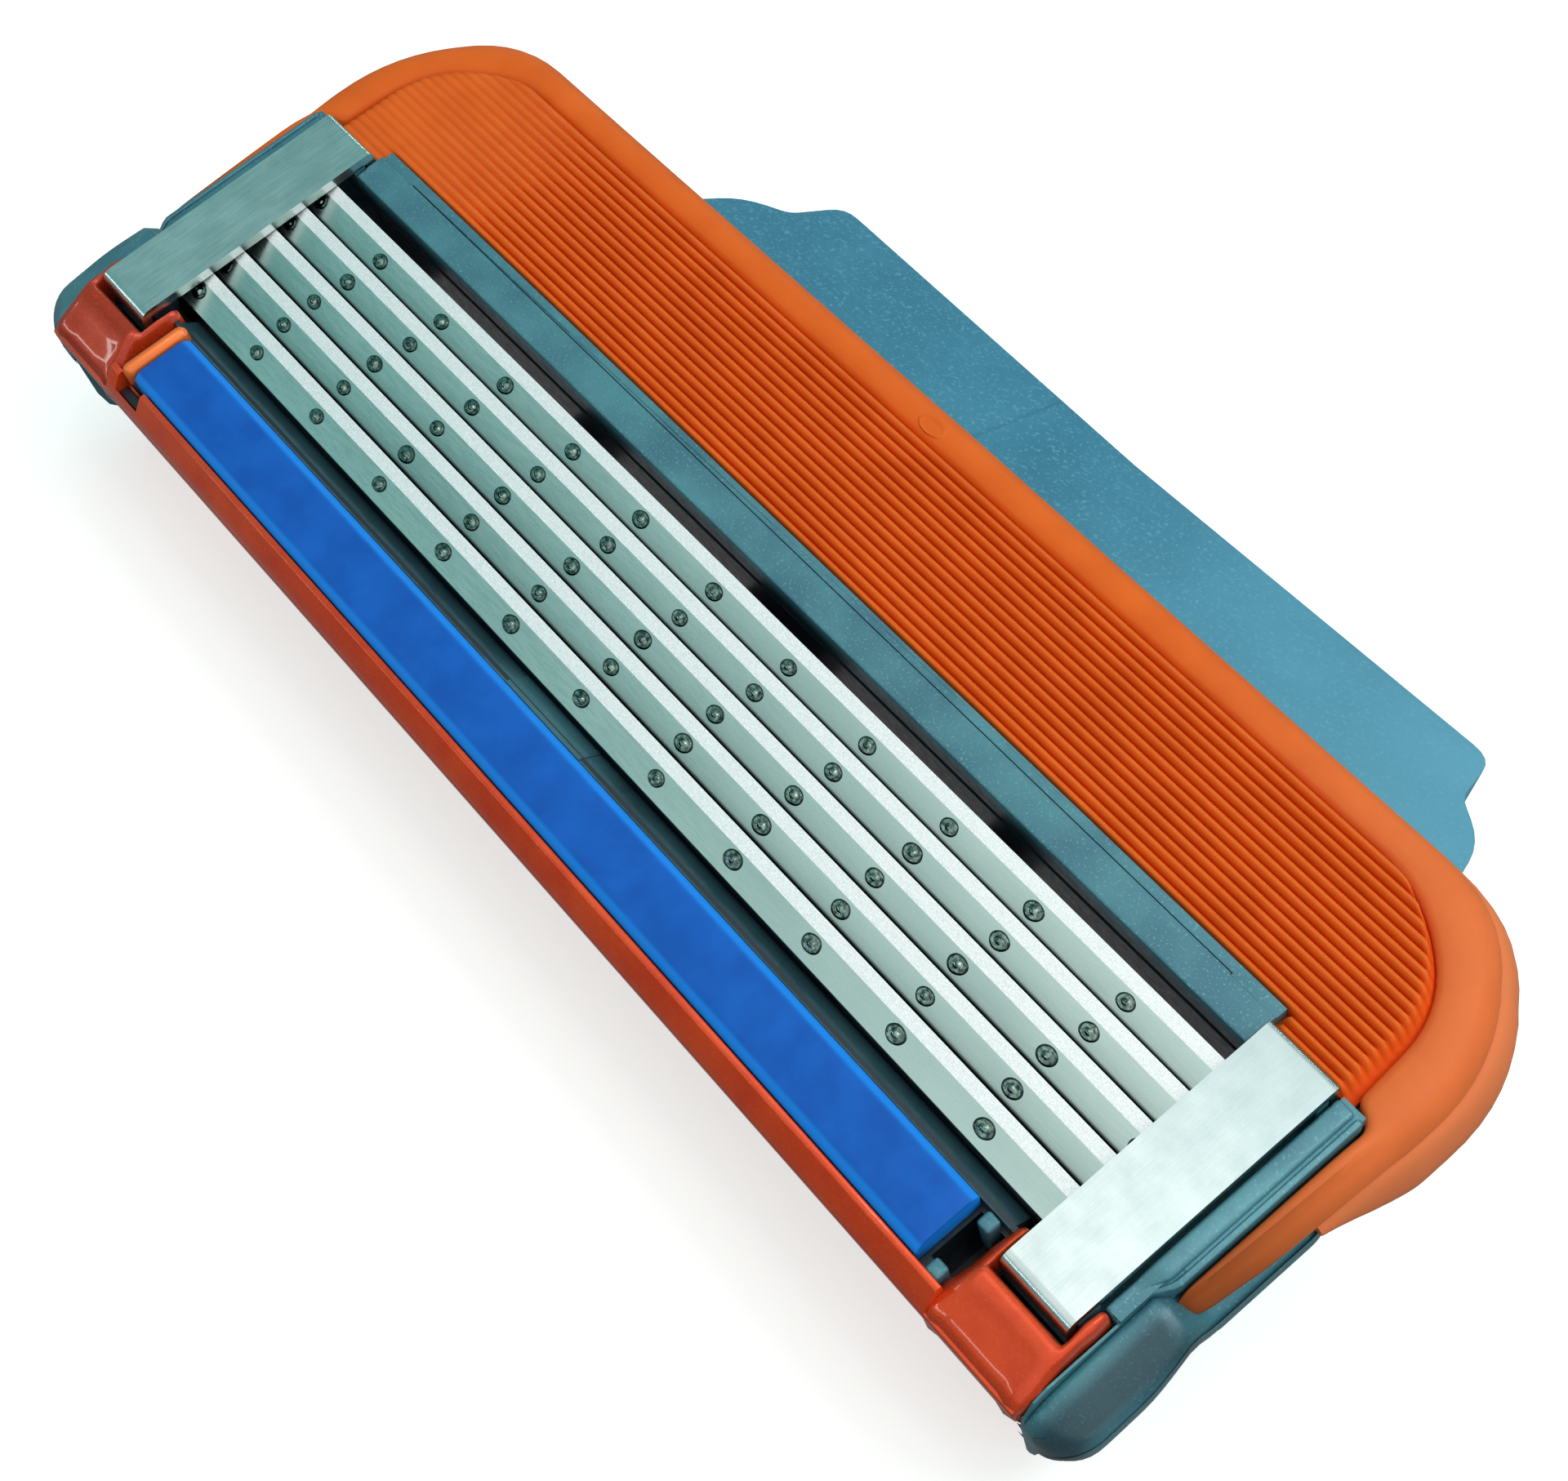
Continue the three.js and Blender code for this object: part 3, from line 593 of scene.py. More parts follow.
def weld_spots(n):
    """The row of spot welds that hold blade n to its support, each a small ringed crater."""
    rng = random.Random(WELD_SEED + n)
    bm = bmesh.new()
    shares = []
    blade = BLADES[n - 1]
    for i in range(WELD_COUNT):
        x = FIRST_WELDS[n - 1] + i * WELD_PITCH + rng.uniform(-0.04, 0.04)
        if not blade.x0 + WELD_END_GAP < x < blade.x1 - WELD_END_GAP:
            continue
        size = rng.uniform(0.93, 1.07)
        back = WELD_BACK + rng.uniform(-0.015, 0.015)
        rings = []
        for share, height in WELD_PROFILE:
            ring = []
            for angle in angles(WELD_TURNS):
                wobble = 1 + 0.06 * noise.noise(Vector((x, math.cos(angle), math.sin(angle))))
                along = share * size * wobble * WELD_HALF_LENGTH * math.cos(angle)
                across = share * size * wobble * WELD_HALF_WIDTH * math.sin(angle)
                lift = height + 0.004 * noise.noise(Vector((x * 9, along * 9, across * 9)))
                y, z = on_blade(n, back + across, BLADE_THICKNESS / 2 + lift)
                ring.append(Vector((x + along, y, z)))
                shares.append(share)
            rings.append(ring)
        loft(bm, rings)
    name, body, looks = f"weld_spots_{n}", f"blade_unit_{n}", [WELD_SPOT]
    piece = finish_mesh(name, bm, body, "blade_steel", (), looks, sharp=ALL_SMOOTH)
    set_values(piece, "edge", [smoothstep(share, 0.74, 0.92) for share in shares])


def blade_support(n):
    bm = cad_mesh(f"blade_support_{n}")
    bevel_edges(bm, 0.03)
    nodes = [f"blade_support_{n}"]
    finish_mesh(f"bent_support_{n}", bm, f"blade_unit_{n}", "support_steel", nodes)


# ---- Guard ----

BAR_END = 17.3  # where the bar behind the fins stops and two more fins begin
FIN_COUNT = 16
FIN_PITCH = 0.26
FIN_REAR = 2.45
FIN_FRONT = FIN_REAR + FIN_COUNT * FIN_PITCH
LEFT_FADE = 0.12  # what is left of the fins' relief at the left end
FIN_SHARP = 114.6  # degrees: crisp valleys, smooth crests
FIN_TOP = -0.15
FIN_VALLEY = -0.36
GROOVE_DEPTH = -0.72
BORDER_TOP = -0.47

FIELD_CORNERS = [[19.58, 1.45], [19.46, 5.0, 1.35], [17.2, 6.71, 1.35], [0, 6.71]]


def fin_field_reach(y):
    """How far the field of fins reaches along X at this Y."""
    outline = [p for p in rounded(8, *FIELD_CORNERS) if p[0] > 0]
    for a, b in zip(outline, outline[1:]):
        if a[1] <= y < b[1]:
            return lerp(a[0], b[0], (y - a[1]) / (b[1] - a[1]))
    return outline[-1][0]


def fin_height(x, y):
    """The height of the ribbed field, and how deep in a valley it is."""
    reach = fin_field_reach(min(y, 6.7)) - abs(x)
    rear = lerp(FIN_REAR, FIN_REAR - 2 * FIN_PITCH, smoothstep(abs(x), BAR_END, BAR_END + 0.15))
    inside = smoothstep(reach, 0.0, 0.32) * smoothstep(y, rear - 0.02, rear + 0.06)
    inside *= smoothstep(FIN_FRONT + 0.1 - y, 0.0, 0.1)
    fade = lerp(1, LEFT_FADE, smoothstep(-x, 10.5, 18.0))
    ridge = abs(math.sin(math.pi * (y - FIN_REAR) / FIN_PITCH)) ** 0.8
    wander = 0.012 * noise.noise(Vector((x * 0.35, y * 2.0, 0)))
    crest = lerp(FIN_VALLEY, FIN_TOP, lerp(lerp(0.75, 1, fade) - 0.25, 1, fade)) + wander
    valley = lerp(crest - 0.03, FIN_VALLEY, fade)
    top = lerp(valley, crest, ridge)
    edge = GROOVE_DEPTH if y > rear else BORDER_TOP - 0.08
    border = 1 if y > rear else 0
    depth = lerp(border, (1 - ridge) * (0.25 + 0.75 * fade), inside)
    return lerp(edge, top, inside), depth


def guard_fins():
    steps_per_fin = 8
    first = -2 * steps_per_fin
    last = FIN_COUNT * steps_per_fin
    rows = [FIN_REAR + FIN_PITCH * i / steps_per_fin for i in range(first, last + 1)]
    rows += [6.66, 6.72, 6.78, 6.84]
    fine, coarse = 16, 36
    shares = [-1 + 0.12 * (i / fine) for i in range(fine)]
    shares += [lerp(-0.88, 0.88, i / coarse) for i in range(coarse)]
    shares += [0.88 + 0.12 * (i / fine) for i in range(fine + 1)]
    bm = bmesh.new()
    top = []
    for y in rows:
        reach = fin_field_reach(min(y, 6.7)) + 0.12
        line = []
        for share in shares:
            x = share * reach
            line.append(bm.verts.new((x, y, fin_height(x, y)[0])))
        top.append(line)
    for a, b in zip(top, top[1:]):
        for i in range(len(a) - 1):
            bm.faces.new((a[i], a[i + 1], b[i + 1], b[i]))
    rim = top[0] + [line[-1] for line in top[1:]] + list(reversed(top[-1][:-1]))
    rim += [line[0] for line in reversed(top[1:-1])]
    floor = [bm.verts.new((v.co.x, v.co.y, -1.06)) for v in rim]
    for i in range(len(rim)):
        j = (i + 1) % len(rim)
        bm.faces.new((rim[i], floor[i], floor[j], rim[j]))
    bm.faces.new(list(reversed(floor)))
    piece = head_piece("guard_fins", bm, "guard_rubber", ["guard_elastomer"], sharp=FIN_SHARP)
    # The depth attribute carries the painted shade of the valleys.
    values_from(piece, "depth", lambda p: fin_height(p.x, p.y)[1])


TIP_END = -3.7  # where the guard's tip meets the lobe
TIP_RISE = 0.14  # how much higher the band's inner edge is there
# Matching corners along the guard from its tip to the middle of the front, each [x, y, radius]:
# the band's inner edge, its top's outer edge, and which way it flares out below that edge.
BAND_INNER = (
    [20.26, TIP_END], [20.26, -2.9, 0.5], [20.26, -1.0, 0.8], [20.26, 1.85, 0.25],
    [19.66, 2.2, 0.2], [19.46, 5.0, 1.35], [17.2, 6.71, 1.35], [0, 6.71],
)
BAND_OUTER = (
    [20.3, TIP_END], [20.44, -2.9, 0.5], [20.54, -1.0, 0.8], [20.64, 1.85, 0.25],
    [20.68, 2.4, 0.2], [20.7, 4.45, 1.75], [18.4, 7.53, 1.75], [0, 7.53],
)
BAND_FLARE = ((0.1, -0.1), (0.8, -0.15), (1, 0), (1, 0), (1, 0), (1, 0.9), (0.9, 0.9), (0, 1))
ARC_STEPS = 7


def open_path(corners):
    """Rounds and subdivides an open line of corners, the same way whatever its lengths."""
    arcs = [[Vector(corners[0][:2])]]
    for before, (x, y, radius), after in zip(corners, corners[1:], corners[2:]):
        corner = Vector((x, y))
        start = corner + (Vector(before[:2]) - corner).normalized() * radius
        end = corner + (Vector(after[:2]) - corner).normalized() * radius
        shares = [step / ARC_STEPS for step in range(ARC_STEPS + 1)]
        arcs.append([start.lerp(corner, t).lerp(corner.lerp(end, t), t) for t in shares])
    arcs.append([Vector(corners[-1][:2])])
    path = []
    for arc, following in zip(arcs, arcs[1:]):
        path += arc
        path += [arc[-1].lerp(following[0], share) for share in (0.25, 0.5, 0.75)]
    return path + arcs[-1]


def smooth_ways(ways):
    """The flare's way at each point of an open_path, turning smoothly."""
    path = []
    last = len(ways) - 1
    for i, (way, following) in enumerate(zip(ways, ways[1:])):
        here, there = Vector(way), Vector(following)
        path += [here] * (1 if i == 0 else ARC_STEPS + 1)
        path += [here.lerp(there, share) for share in (0.25, 0.5, 0.75)]
    path.append(Vector(ways[last]))
    for _ in range(6):
        inside = [(a + b * 2 + c) / 4 for a, b, c in zip(path, path[1:], path[2:])]
        path = [path[0], *inside, path[-1]]
    return path


def guard_stations():
    """Inner point, outer point and flare all the way round the guard, from the left tip."""
    right = list(zip(open_path(BAND_INNER), open_path(BAND_OUTER), smooth_ways(BAND_FLARE)))
    flip = Vector((-1, 1))
    left = [(a * flip, b * flip, c * flip) for a, b, c in right[:-1]]
    return left + list(reversed(right))


# The upper band's section: how far out (0 the inner edge, 1 the top's outer edge), the flare, and
# the height.
BAND_SECTION = (
    (0.0, 0, -1.05), (0.0, 0, -0.64), (0.06, 0, -0.53), (0.22, 0, -0.475),
    (0.5, 0, -0.455), (0.8, 0, -0.48), (1.0, 0.02, -0.56), (1.0, 0.16, -0.7),
    (1.0, 0.28, -0.9), (1.0, 0.36, -1.12), (1.0, 0.38, -1.25), (1.0, 0.3, -1.34),
    (1.0, 0.1, -1.36), (0.5, 0, -1.36),
)
LIP_SECTION = (
    (0.0, 0, -1.38), (1.0, 0.22, -1.37), (1.0, 0.38, -1.36), (1.0, 0.48, -1.44),
    (1.0, 0.6, -1.68), (1.0, 0.7, -2.0), (1.0, 0.76, -2.4), (1.0, 0.77, -2.75),
    (1.0, 0.7, -2.98), (1.0, 0.55, -3.09), (1.0, 0.2, -3.1), (0.0, 0, -3.1),
)


# Painted light: the rubber is painted paler towards the lit right end; the lip is also painted paler
# all along.
BAND_PAINTED_LIGHT = 0.22  # how pale the rubber gets towards the right end
LIP_PALENESS_AND_LIGHT = (0.15, 0.3)  # everywhere, and towards the right end


def right_end(p):
    return smoothstep(p.x, 8, 19)


def guard_section(section, inner, outer, way, shrink=1.0, centre=-0.8):
    points = []
    for out, flare, z in section:
        p = inner.lerp(outer, out) + way * flare
        points.append(Vector((p.x, p.y, centre + (z - centre) * shrink)))
    return points


def guard_band():
    stations = guard_stations()
    count = len(stations)
    sections = []
    for i, (inner, outer, way) in enumerate(stations):
        from_end = min(i, count - 1 - i)
        shrink = math.sqrt(smoothstep(from_end, -1.2, 6))
        raised = TIP_RISE * smoothstep(2.0 - inner.y, 0, 1.2)
        ring = guard_section(BAND_SECTION, inner, outer, way, shrink, -1.2)
        for point in ring[1:6]:
            point.z += raised
        sections.append(ring)
    bm = lofted(sections)
    piece = head_piece("guard_band", bm, "guard_rubber", sharp=50)
    # Painted shade, darker towards the tip.
    values_from(piece, "tip", lambda p: smoothstep(1.6 - p.y, 0, 5.0))
    values_from(piece, "paleness_and_light", lambda p: BAND_PAINTED_LIGHT * right_end(p))


LIP_END = -0.35
LIP_WALL = 20.18
LIP_FRONT_WALL = 6.93


def guard_lip():
    """The lower lip, which thins and draws in towards its two ends."""
    stations = [s for s in guard_stations() if s[1].y > LIP_END]
    sections = []
    count = len(stations)
    for i, (inner, outer, way) in enumerate(stations):
        from_end = min(i, count - 1 - i)
        end_round = (0.5, 0.82, 0.95)[from_end] if from_end < 3 else 1.0
        full = smoothstep(outer.y, LIP_END, 2.5)
        wall = Vector((min(LIP_WALL, max(-LIP_WALL, inner.x)), inner.y))
        if inner.y > 6:
            wall.y = LIP_FRONT_WALL
        flare = way * lerp(0.62, 1.0, full)
        shrink = lerp(0.42, 1.0, full) * end_round
        sections.append(guard_section(LIP_SECTION, wall, outer, flare, shrink, -1.5))
    bm = lofted(sections)
    piece = head_piece("guard_lip", bm, "guard_rubber", sharp=50)
    values_from(piece, "paleness_and_light", lambda p: LIP_PALENESS_AND_LIGHT[0] + LIP_PALENESS_AND_LIGHT[1] * right_end(p))


GATE_PROFILE = ((0.1, -0.012), (0.5, -0.006), (0.75, 0.03), (0.88, 0.034), (1.0, -0.03), (1.0, -0.12))


def gate_mark():
    """The shallow dimple where the rubber was injected, at the middle of the guard's border."""
    centre = Vector((0.1, 7.12, -0.47))
    half_length, half_width = 0.5, 0.26
    rings = []
    ways = [Vector((half_length * math.cos(a), half_width * math.sin(a), 0)) for a in angles(28)]
    for share, height in GATE_PROFILE:
        rings.append([centre + way * share + Vector((0, 0, height)) for way in ways])
    bm = lofted(rings)
    head_piece("gate_mark", bm, "guard_rubber", sharp=60)


# ---- Clips ----

# How much painted shade each clip gets at its guard end.
CLIP_PAINTED_SHADE = {"right": 0.55, "left": 0.15}


def bent_clip(side):
    """A metal strip folded over one end of the head."""
    thick, reach = 0.28, 2.4
    fold, inside = 0.34, 0.08
    top, foot = CLIP.z1, CLIP.z0
    rear, front = CLIP.y0, CLIP.y1
    outline = rounded(
        5,
        [rear, foot, fold], [rear + reach, foot], [rear + reach, foot + thick],
        [rear + thick, foot + thick, inside], [rear + thick, top - thick, inside],
        [front - thick, top - thick, inside], [front - thick, foot + thick, inside],
        [front - reach, foot + thick], [front - reach, foot], [front, foot, fold],
        [front, top, 0.2], [rear, top, fold],
    )
    bm = lofted(along_x(outline, sorted((side * CLIP.x0, side * CLIP.x1))))
    bevel_edges(bm, 0.09, 1, 50)
    name = end_name(side)
    piece = head_piece(f"bent_clip_{name}", bm, "clip_metal", [f"clip_{name}"])
    darkest_shade = CLIP_PAINTED_SHADE[name]
    values_from(piece, "painted_clip_shade", lambda p: darkest_shade * smoothstep(p.y, rear, front))


# ---- Strip ----


def strip():
    chamfer, corner = 0.22, 0.17
    top = STRIP.z1
    outline = rounded(
        4,
        [STRIP.y0, STRIP.z0, 0.05], [STRIP.y1, STRIP.z0, 0.05], [STRIP.y1, top - corner, 0.1],
        [STRIP.y1 - chamfer, top, 0.12], [STRIP.y0 + chamfer, top, 0.12],
        [STRIP.y0, top - corner, 0.1],
    )
    sections = []
    ends = soft_ends(STRIP.x0, STRIP.x1, 0.05)
    half = len(ends) // 2
    inner = [(lerp(STRIP.x0, STRIP.x1, i / 60), 0) for i in range(1, 60)]
    for x, by in ends[:half] + inner + ends[half:]:
        ring = drawn_in(outline, by)
        sections.append([Vector((x, p[0], p[1])) for p in ring])
    bm = lofted(sections)
    for vert in bm.verts:
        if vert.co.z > top - 0.25:
            vert.co.z += 0.012 * noise.noise(Vector((vert.co.x * 0.8, vert.co.y * 1.5, 3)))
    piece = head_piece("strip_bar", bm, "strip_polymer", ["lubricating_strip"])

    def edge(p):
        across = min(p.y - STRIP.y0, STRIP.y1 - p.y)
        return 1 - smoothstep(across, 0.14, 0.26)

    # Painted highlight on the chamfers.
    values_from(piece, "edge", edge)


# ---- Trimmer cover ----

COMB_SLOT_COUNT = 22
COMB_SLOT_PITCH = 1.25
COMB_SLOT_WIDTH = 0.65
COMB_SLOT_ACROSS = (-9, -6.25)
COMB_SLOT_HEIGHTS = (-6.05, -4.9)
NOTCH = (-16.48, -15.4)
BLOCK_START = 16.9
BLOCK_SEAT = -0.7  # the plate's height under the corner blocks


def carved(bm, cutter):
    """The drawn solid with the cutter's solids taken out of it."""
    objects = []
    for name, drawn in (("whole", bm), ("cutter", cutter)):
        bmesh.ops.recalc_face_normals(drawn, faces=drawn.faces)
        objects.append(added(bpy.data.objects.new(name, mesh_from(name, drawn))))
    cut = objects[0].modifiers.new("cut", "BOOLEAN")
    cut.operation = "DIFFERENCE"
    cut.solver = "EXACT"
    cut.use_self = True
    cut.object = objects[1]
    shaped = objects[0].evaluated_get(bpy.context.evaluated_depsgraph_get()).to_mesh()
    result = bmesh.new()
    result.from_mesh(shaped)
    for made in objects:
        mesh = made.data
        bpy.data.objects.remove(made)
        bpy.data.meshes.remove(mesh)
    bmesh.ops.remove_doubles(result, verts=result.verts, dist=0.001)
    return result


def cover_shell():
    """The glossy plate behind the cap: a lip along the strip, a slanted rear wall and the comb."""
    lip = STRIP.y0 - 0.03
    outline = rounded(
        4,
        [lip - 0.16, -0.06, 0.07], [-7.78, -0.62, 0.2], [-7.84, -0.95, 0.15],
        [-7.07, -4.7, 0.3], [-6.7, -6.4, 0.08], [-6.2, -6.64, 0.08], [-6.2, -6.15, 0.05],
        [-6.45, -6.1, 0.1], [-6.62, -4.5, 0.2], [-7.24, -0.62, 0.05], [lip, -0.62],
        [lip, -0.06, 0.06],
    )
    reach = COVER.x1 - 0.03
    lowered = [Vector((p[0], min(p[1], BLOCK_SEAT))) for p in outline]
    sections = along_x(lowered, [-reach, -BLOCK_START - 0.03])
    sections += along_x(outline, [-BLOCK_START, BLOCK_START])
    sections += along_x(lowered, [BLOCK_START + 0.03, reach])
    cutter = bmesh.new()
    first = -(COMB_SLOT_COUNT - 1) / 2 * COMB_SLOT_PITCH
    for i in range(COMB_SLOT_COUNT):
        x = first + i * COMB_SLOT_PITCH
        half = COMB_SLOT_WIDTH / 2
        block(cutter, x - half, x + half, *COMB_SLOT_ACROSS, *COMB_SLOT_HEIGHTS)
    block(cutter, *NOTCH, -7.64, -6.5, -0.7, 1)
    bm = carved(lofted(sections), cutter)
    join_flat(bm, 0.5)
    bevel_edges(bm, 0.04, 2, 40)
    head_piece("cover_shell", bm, "cover_lacquer", ["trimmer_cover"])


# The corner block's section, as share of its depth outwards from the clip and the height.
RIDGE = (
    (0.0, -1.05), (0.0, -0.3), (0.02, 0.0), (0.1, 0.1), (0.2, 0.09), (0.34, 0.0),
    (0.62, -0.28), (0.86, -0.5), (0.97, -0.68), (1.0, -1.0), (1.0, -1.4), (0.5, -1.4),
)
FINGER = (
    (0.0, -1.05), (0.0, -0.3), (0.05, -0.05), (0.2, 0.06), (0.4, 0.1), (0.6, 0.08),
    (0.82, -0.02), (0.95, -0.2), (1.0, -0.5), (1.0, -1.0), (1.0, -1.05), (0.5, -1.05),
)
SLOPE = (
    (0.0, -1.05), (0.0, -0.4), (0.04, -0.12), (0.14, -0.03), (0.26, -0.05), (0.42, -0.14),
    (0.65, -0.34), (0.85, -0.55), (0.97, -0.8), (1.0, -1.2), (1.0, -1.4), (0.5, -1.4),
)


def corner_block(side):
    """The raised rim round a clip's rear end: an inner slope, the rear ridge and an outer finger."""
    inner, outer, rear = CLIP.x0 - 0.1, CLIP.x1 + 0.08, CLIP.y0 - 0.2
    outward = COVER.x1 + 0.02 - outer
    back = LOBE_REAR - rear
    stations = [
        (inner, -5.0, (-0.35, 0), SLOPE, 0.9),
        (inner, -5.3, (-0.42, 0), SLOPE, 1),
        (inner, rear + 0.15, (-0.46, 0), SLOPE, 1),
        (inner, rear + 0.02, (-0.47, -0.3), SLOPE, 1),
        (inner + 0.03, rear, (-0.45, back), RIDGE, 1),
        (inner + 0.2, rear, (-0.1, back), RIDGE, 1),
        (inner + 1.2, rear, (0, back), RIDGE, 1),
        (outer - 0.3, rear, (0, back), RIDGE, 1),
        (outer - 0.04, rear, (outward, back), RIDGE, 1),
        (outer, rear + 0.04, (outward, -0.35), FINGER, 1),
        (outer, rear + 0.3, (outward, 0), FINGER, 1),
        (outer, -5.15, (outward, 0), FINGER, 1),
        (outer + 0.03, -5.02, (outward - 0.06, 0), FINGER, 0.85),
    ]
    sections = []
    for x, y, out, section, shrink in stations:
        ring = []
        for share, z in section:
            at_x, at_y = x + out[0] * share, y + out[1] * share
            ring.append(Vector((side * at_x, at_y, -1.1 + (z + 1.1) * shrink)))
        sections.append(ring)
    bm = lofted(sections)
    bmesh.ops.recalc_face_normals(bm, faces=bm.faces)
    bmesh.ops.subdivide_edges(bm, edges=bm.edges, cuts=1, use_grid_fill=True, smooth=0.6)
    piece = head_piece(f"cover_corner_{end_name(side)}", bm, "cover_lacquer", sharp=60)

    # Painted shade: the left block is painted darker, and so are the blocks' lower parts.
    def painted_shade(p):
        return 0.55 * smoothstep(-p.x, 0, 1) + 0.3 * smoothstep(-p.z, 0.35, 0.8)

    values_from(piece, "painted_shade", painted_shade)


# How much painted light the bar across the strip's left end gets.
END_BAR_PAINTED_LIGHT = 0.6


def strip_end_bar():
    """The rounded bar across the strip's left end."""
    x, z = -16.26, 0.02
    half_width, height = 0.21, 0.24
    sections = []
    for y, by in soft_ends(STRIP.y0 - 0.1, STRIP.y1 + 0.1, 0.2, 4):
        share = 1 - by / 0.2 * 0.96
        ring = []
        for angle in angles(12):
            rise = math.sin(angle)
            lift = height * rise * share if rise > 0 else 0.5 * rise
            ring.append(Vector((x + half_width * share * math.cos(angle), y, z + lift)))
        sections.append(ring)
    bm = lofted(sections)
    piece = head_piece("strip_end_bar", bm, "cover_lacquer", sharp=60)
    values_from(piece, "painted_light", lambda p: END_BAR_PAINTED_LIGHT)


# ---- Housing ----

FRAME_SIDE = 20.17
RAIL_LINE = 19.98
BAR_LINE = 2.1
BAR_PAD = 15.9


def frame_shade(p):
    """Painted shade: how dark the frame is painted in its well, the gap behind the blades and the
    strip's end pockets, where shade falls.
    """
    across = abs(p.x)
    deep = smoothstep(-p.z, 0.3, 0.8)
    in_well = deep * smoothstep(1.5 - p.y, 0, 0.1) * smoothstep(19.3 - across, 0, 0.1)
    behind_blades = 0.62 * smoothstep(-p.y, 4.7, 4.85) * smoothstep(17.2 - across, 0, 0.1)
    past_strip = smoothstep(across, 15.8, 15.95) * smoothstep(17.5 - across, 0, 0.1)
    return max(in_well, behind_blades, past_strip * smoothstep(-p.y, 4.6, 5.0))


def housing_frame():
    """The moulded frame: the lobes are drawn on their own, and fine grooves mark its top edges."""
    cutter = bmesh.new()
    outside, rear, under, top = 23, -9, -6, 1  # clear of the frame on each side
    lobe_wall = LOBE_INNER_X + 0.02
    seat = -1.4
    for side in (-1, 1):
        side_block(cutter, side, FRAME_SIDE, outside, rear, 0.5, under, top)
        side_block(cutter, side, lobe_wall, outside, rear, -6.85, under, top)
        near, far = [side * lobe_wall, side * (FRAME_SIDE + 0.01)][::side]
        wedge = []
        for y, foot in ((rear, seat), (TIP_END - 0.75, seat), (TIP_END + 0.75, 0.02)):
            corners = ((near, foot), (far, foot), (far, top), (near, top))
            wedge.append([Vector((x, y, z)) for x, z in corners])
        loft(cutter, wedge)
        side_block(cutter, side, BAR_PAD, BAR_PAD + 0.05, 1.3, 2.6, -0.12, top)
    block(cutter, -BAR_PAD, BAR_PAD, BAR_LINE, BAR_LINE + 0.06, -0.26, top)
    bm = carved(cad_mesh("housing", joined=False), cutter)
    join_flat(bm)
    bevel_edges(bm, 0.04, 2, 35)
    piece = head_piece("housing_frame", bm, "housing_plastic", ["housing"], sharp=0)
    values_from(piece, "shade", frame_shade)


LOBE_REAR = -7.76
LOBE_FRONT = 0.35
LOBE_BOTTOM = HOUSING.z0 + 0.02
LOBE_INNER_X = COVER.x1 + 0.13
LOBE_STATIONS = 40
LOBE_SEAT = -1.38  # the flank's height under the guard's tip
LOBE_BAND = 0.75  # how dark the band along the right lobe is
BULB_TOP = (-0.34, -0.78)  # at its front and its rear
LOBE_REACH = (21.0, 21.3)  # its X at the flank and at the bulb
LOBE_REAR_BOTTOM = -2.3


def lobe_section(y):
    """The lobe's section in X and Z: low under the guard's tip, then a crest that falls to the rear."""
    risen = smoothstep(y, TIP_END + 0.6, TIP_END - 0.35)
    crest = lerp(LOBE_SEAT, lerp(*BULB_TOP, (TIP_END - y) / 4), risen)
    outer = lerp(*LOBE_REACH, smoothstep(-y, 3.0, 5.6))
    turn = min(1, (y - LOBE_REAR) / 1.15)
    rear = 1 - math.sqrt(1 - (1 - turn) ** 2)
    front = 1 - math.sqrt(1 - max(0, 1 - (LOBE_FRONT - y) / 0.8) ** 2)
    crest -= 0.75 * rear + 0.3 * front
    outer -= 1.0 * rear + 0.45 * front
    bottom = lerp(LOBE_BOTTOM, LOBE_REAR_BOTTOM, smoothstep(-y, 6.9, -LOBE_REAR)) + 0.5 * front
    return rounded(
        5,
        [LOBE_INNER_X, bottom], [LOBE_INNER_X, crest, 0.2],
        [LOBE_INNER_X + 0.42, crest, 0.15], [outer - 0.05, crest - 0.34, 0.45],
        [outer, crest - lerp(0.9, 1.1, risen), 0.5], [outer - 0.85, bottom, 0.35],
    )


def lobe_band(p):
    """Painted reflection: the dark band along the top of the right lobe, standing for the dark
    surroundings it reflects.
    """
    on_top = smoothstep(p.z, -2.6, -1.9) * smoothstep(-p.y, 3.2, 4.4)
    return LOBE_BAND * on_top * smoothstep(p.x, 20.0, 20.5) * smoothstep(21.3 - p.x, 0, 0.3)


def end_lobe(side):
    """The smooth bulb at a cap-side corner, with its flank running on under the guard's tip."""
    sections = []
    hair = 0.004
    for i in range(LOBE_STATIONS + 1):
        share = (1 - math.cos(math.pi * i / LOBE_STATIONS)) / 2
        y = lerp(LOBE_REAR + hair, LOBE_FRONT - hair, share)
        sections.append([Vector((side * x, y, z)) for x, z in lobe_section(y)])
    bm = lofted(sections)
    piece = head_piece(f"end_lobe_{end_name(side)}", bm, "housing_plastic", sharp=60)
    values_from(piece, "shade", lobe_band)


BAR_REAR = 1.2
RAIL_TOP = -0.04


def guard_bar():
    """The smooth top of the bar between the blades and the guard."""
    reach = 17.25
    outline = rounded(
        4,
        [BAR_REAR, -0.85], [BAR_REAR, -0.03, 0.08], [BAR_LINE - 0.03, -0.005, 0.03],
        [BAR_LINE - 0.03, -0.2], [1.6, -0.2], [1.6, -0.85],
    )
    bm = lofted(along_x(outline, [lerp(-reach, reach, i / 40) for i in range(41)]))
    bevel_edges(bm, 0.03, 1, 70)
    piece = head_piece("guard_bar", bm, "housing_plastic", sharp=50)

    # Painted shade on the bar's rear wall, which drops into the dark well.
    def rear_wall(p):
        return smoothstep(-p.z, 0.1, 0.5) * smoothstep(BAR_REAR + 0.05 - p.y, 0, 0.03)

    values_from(piece, "shade", rear_wall)


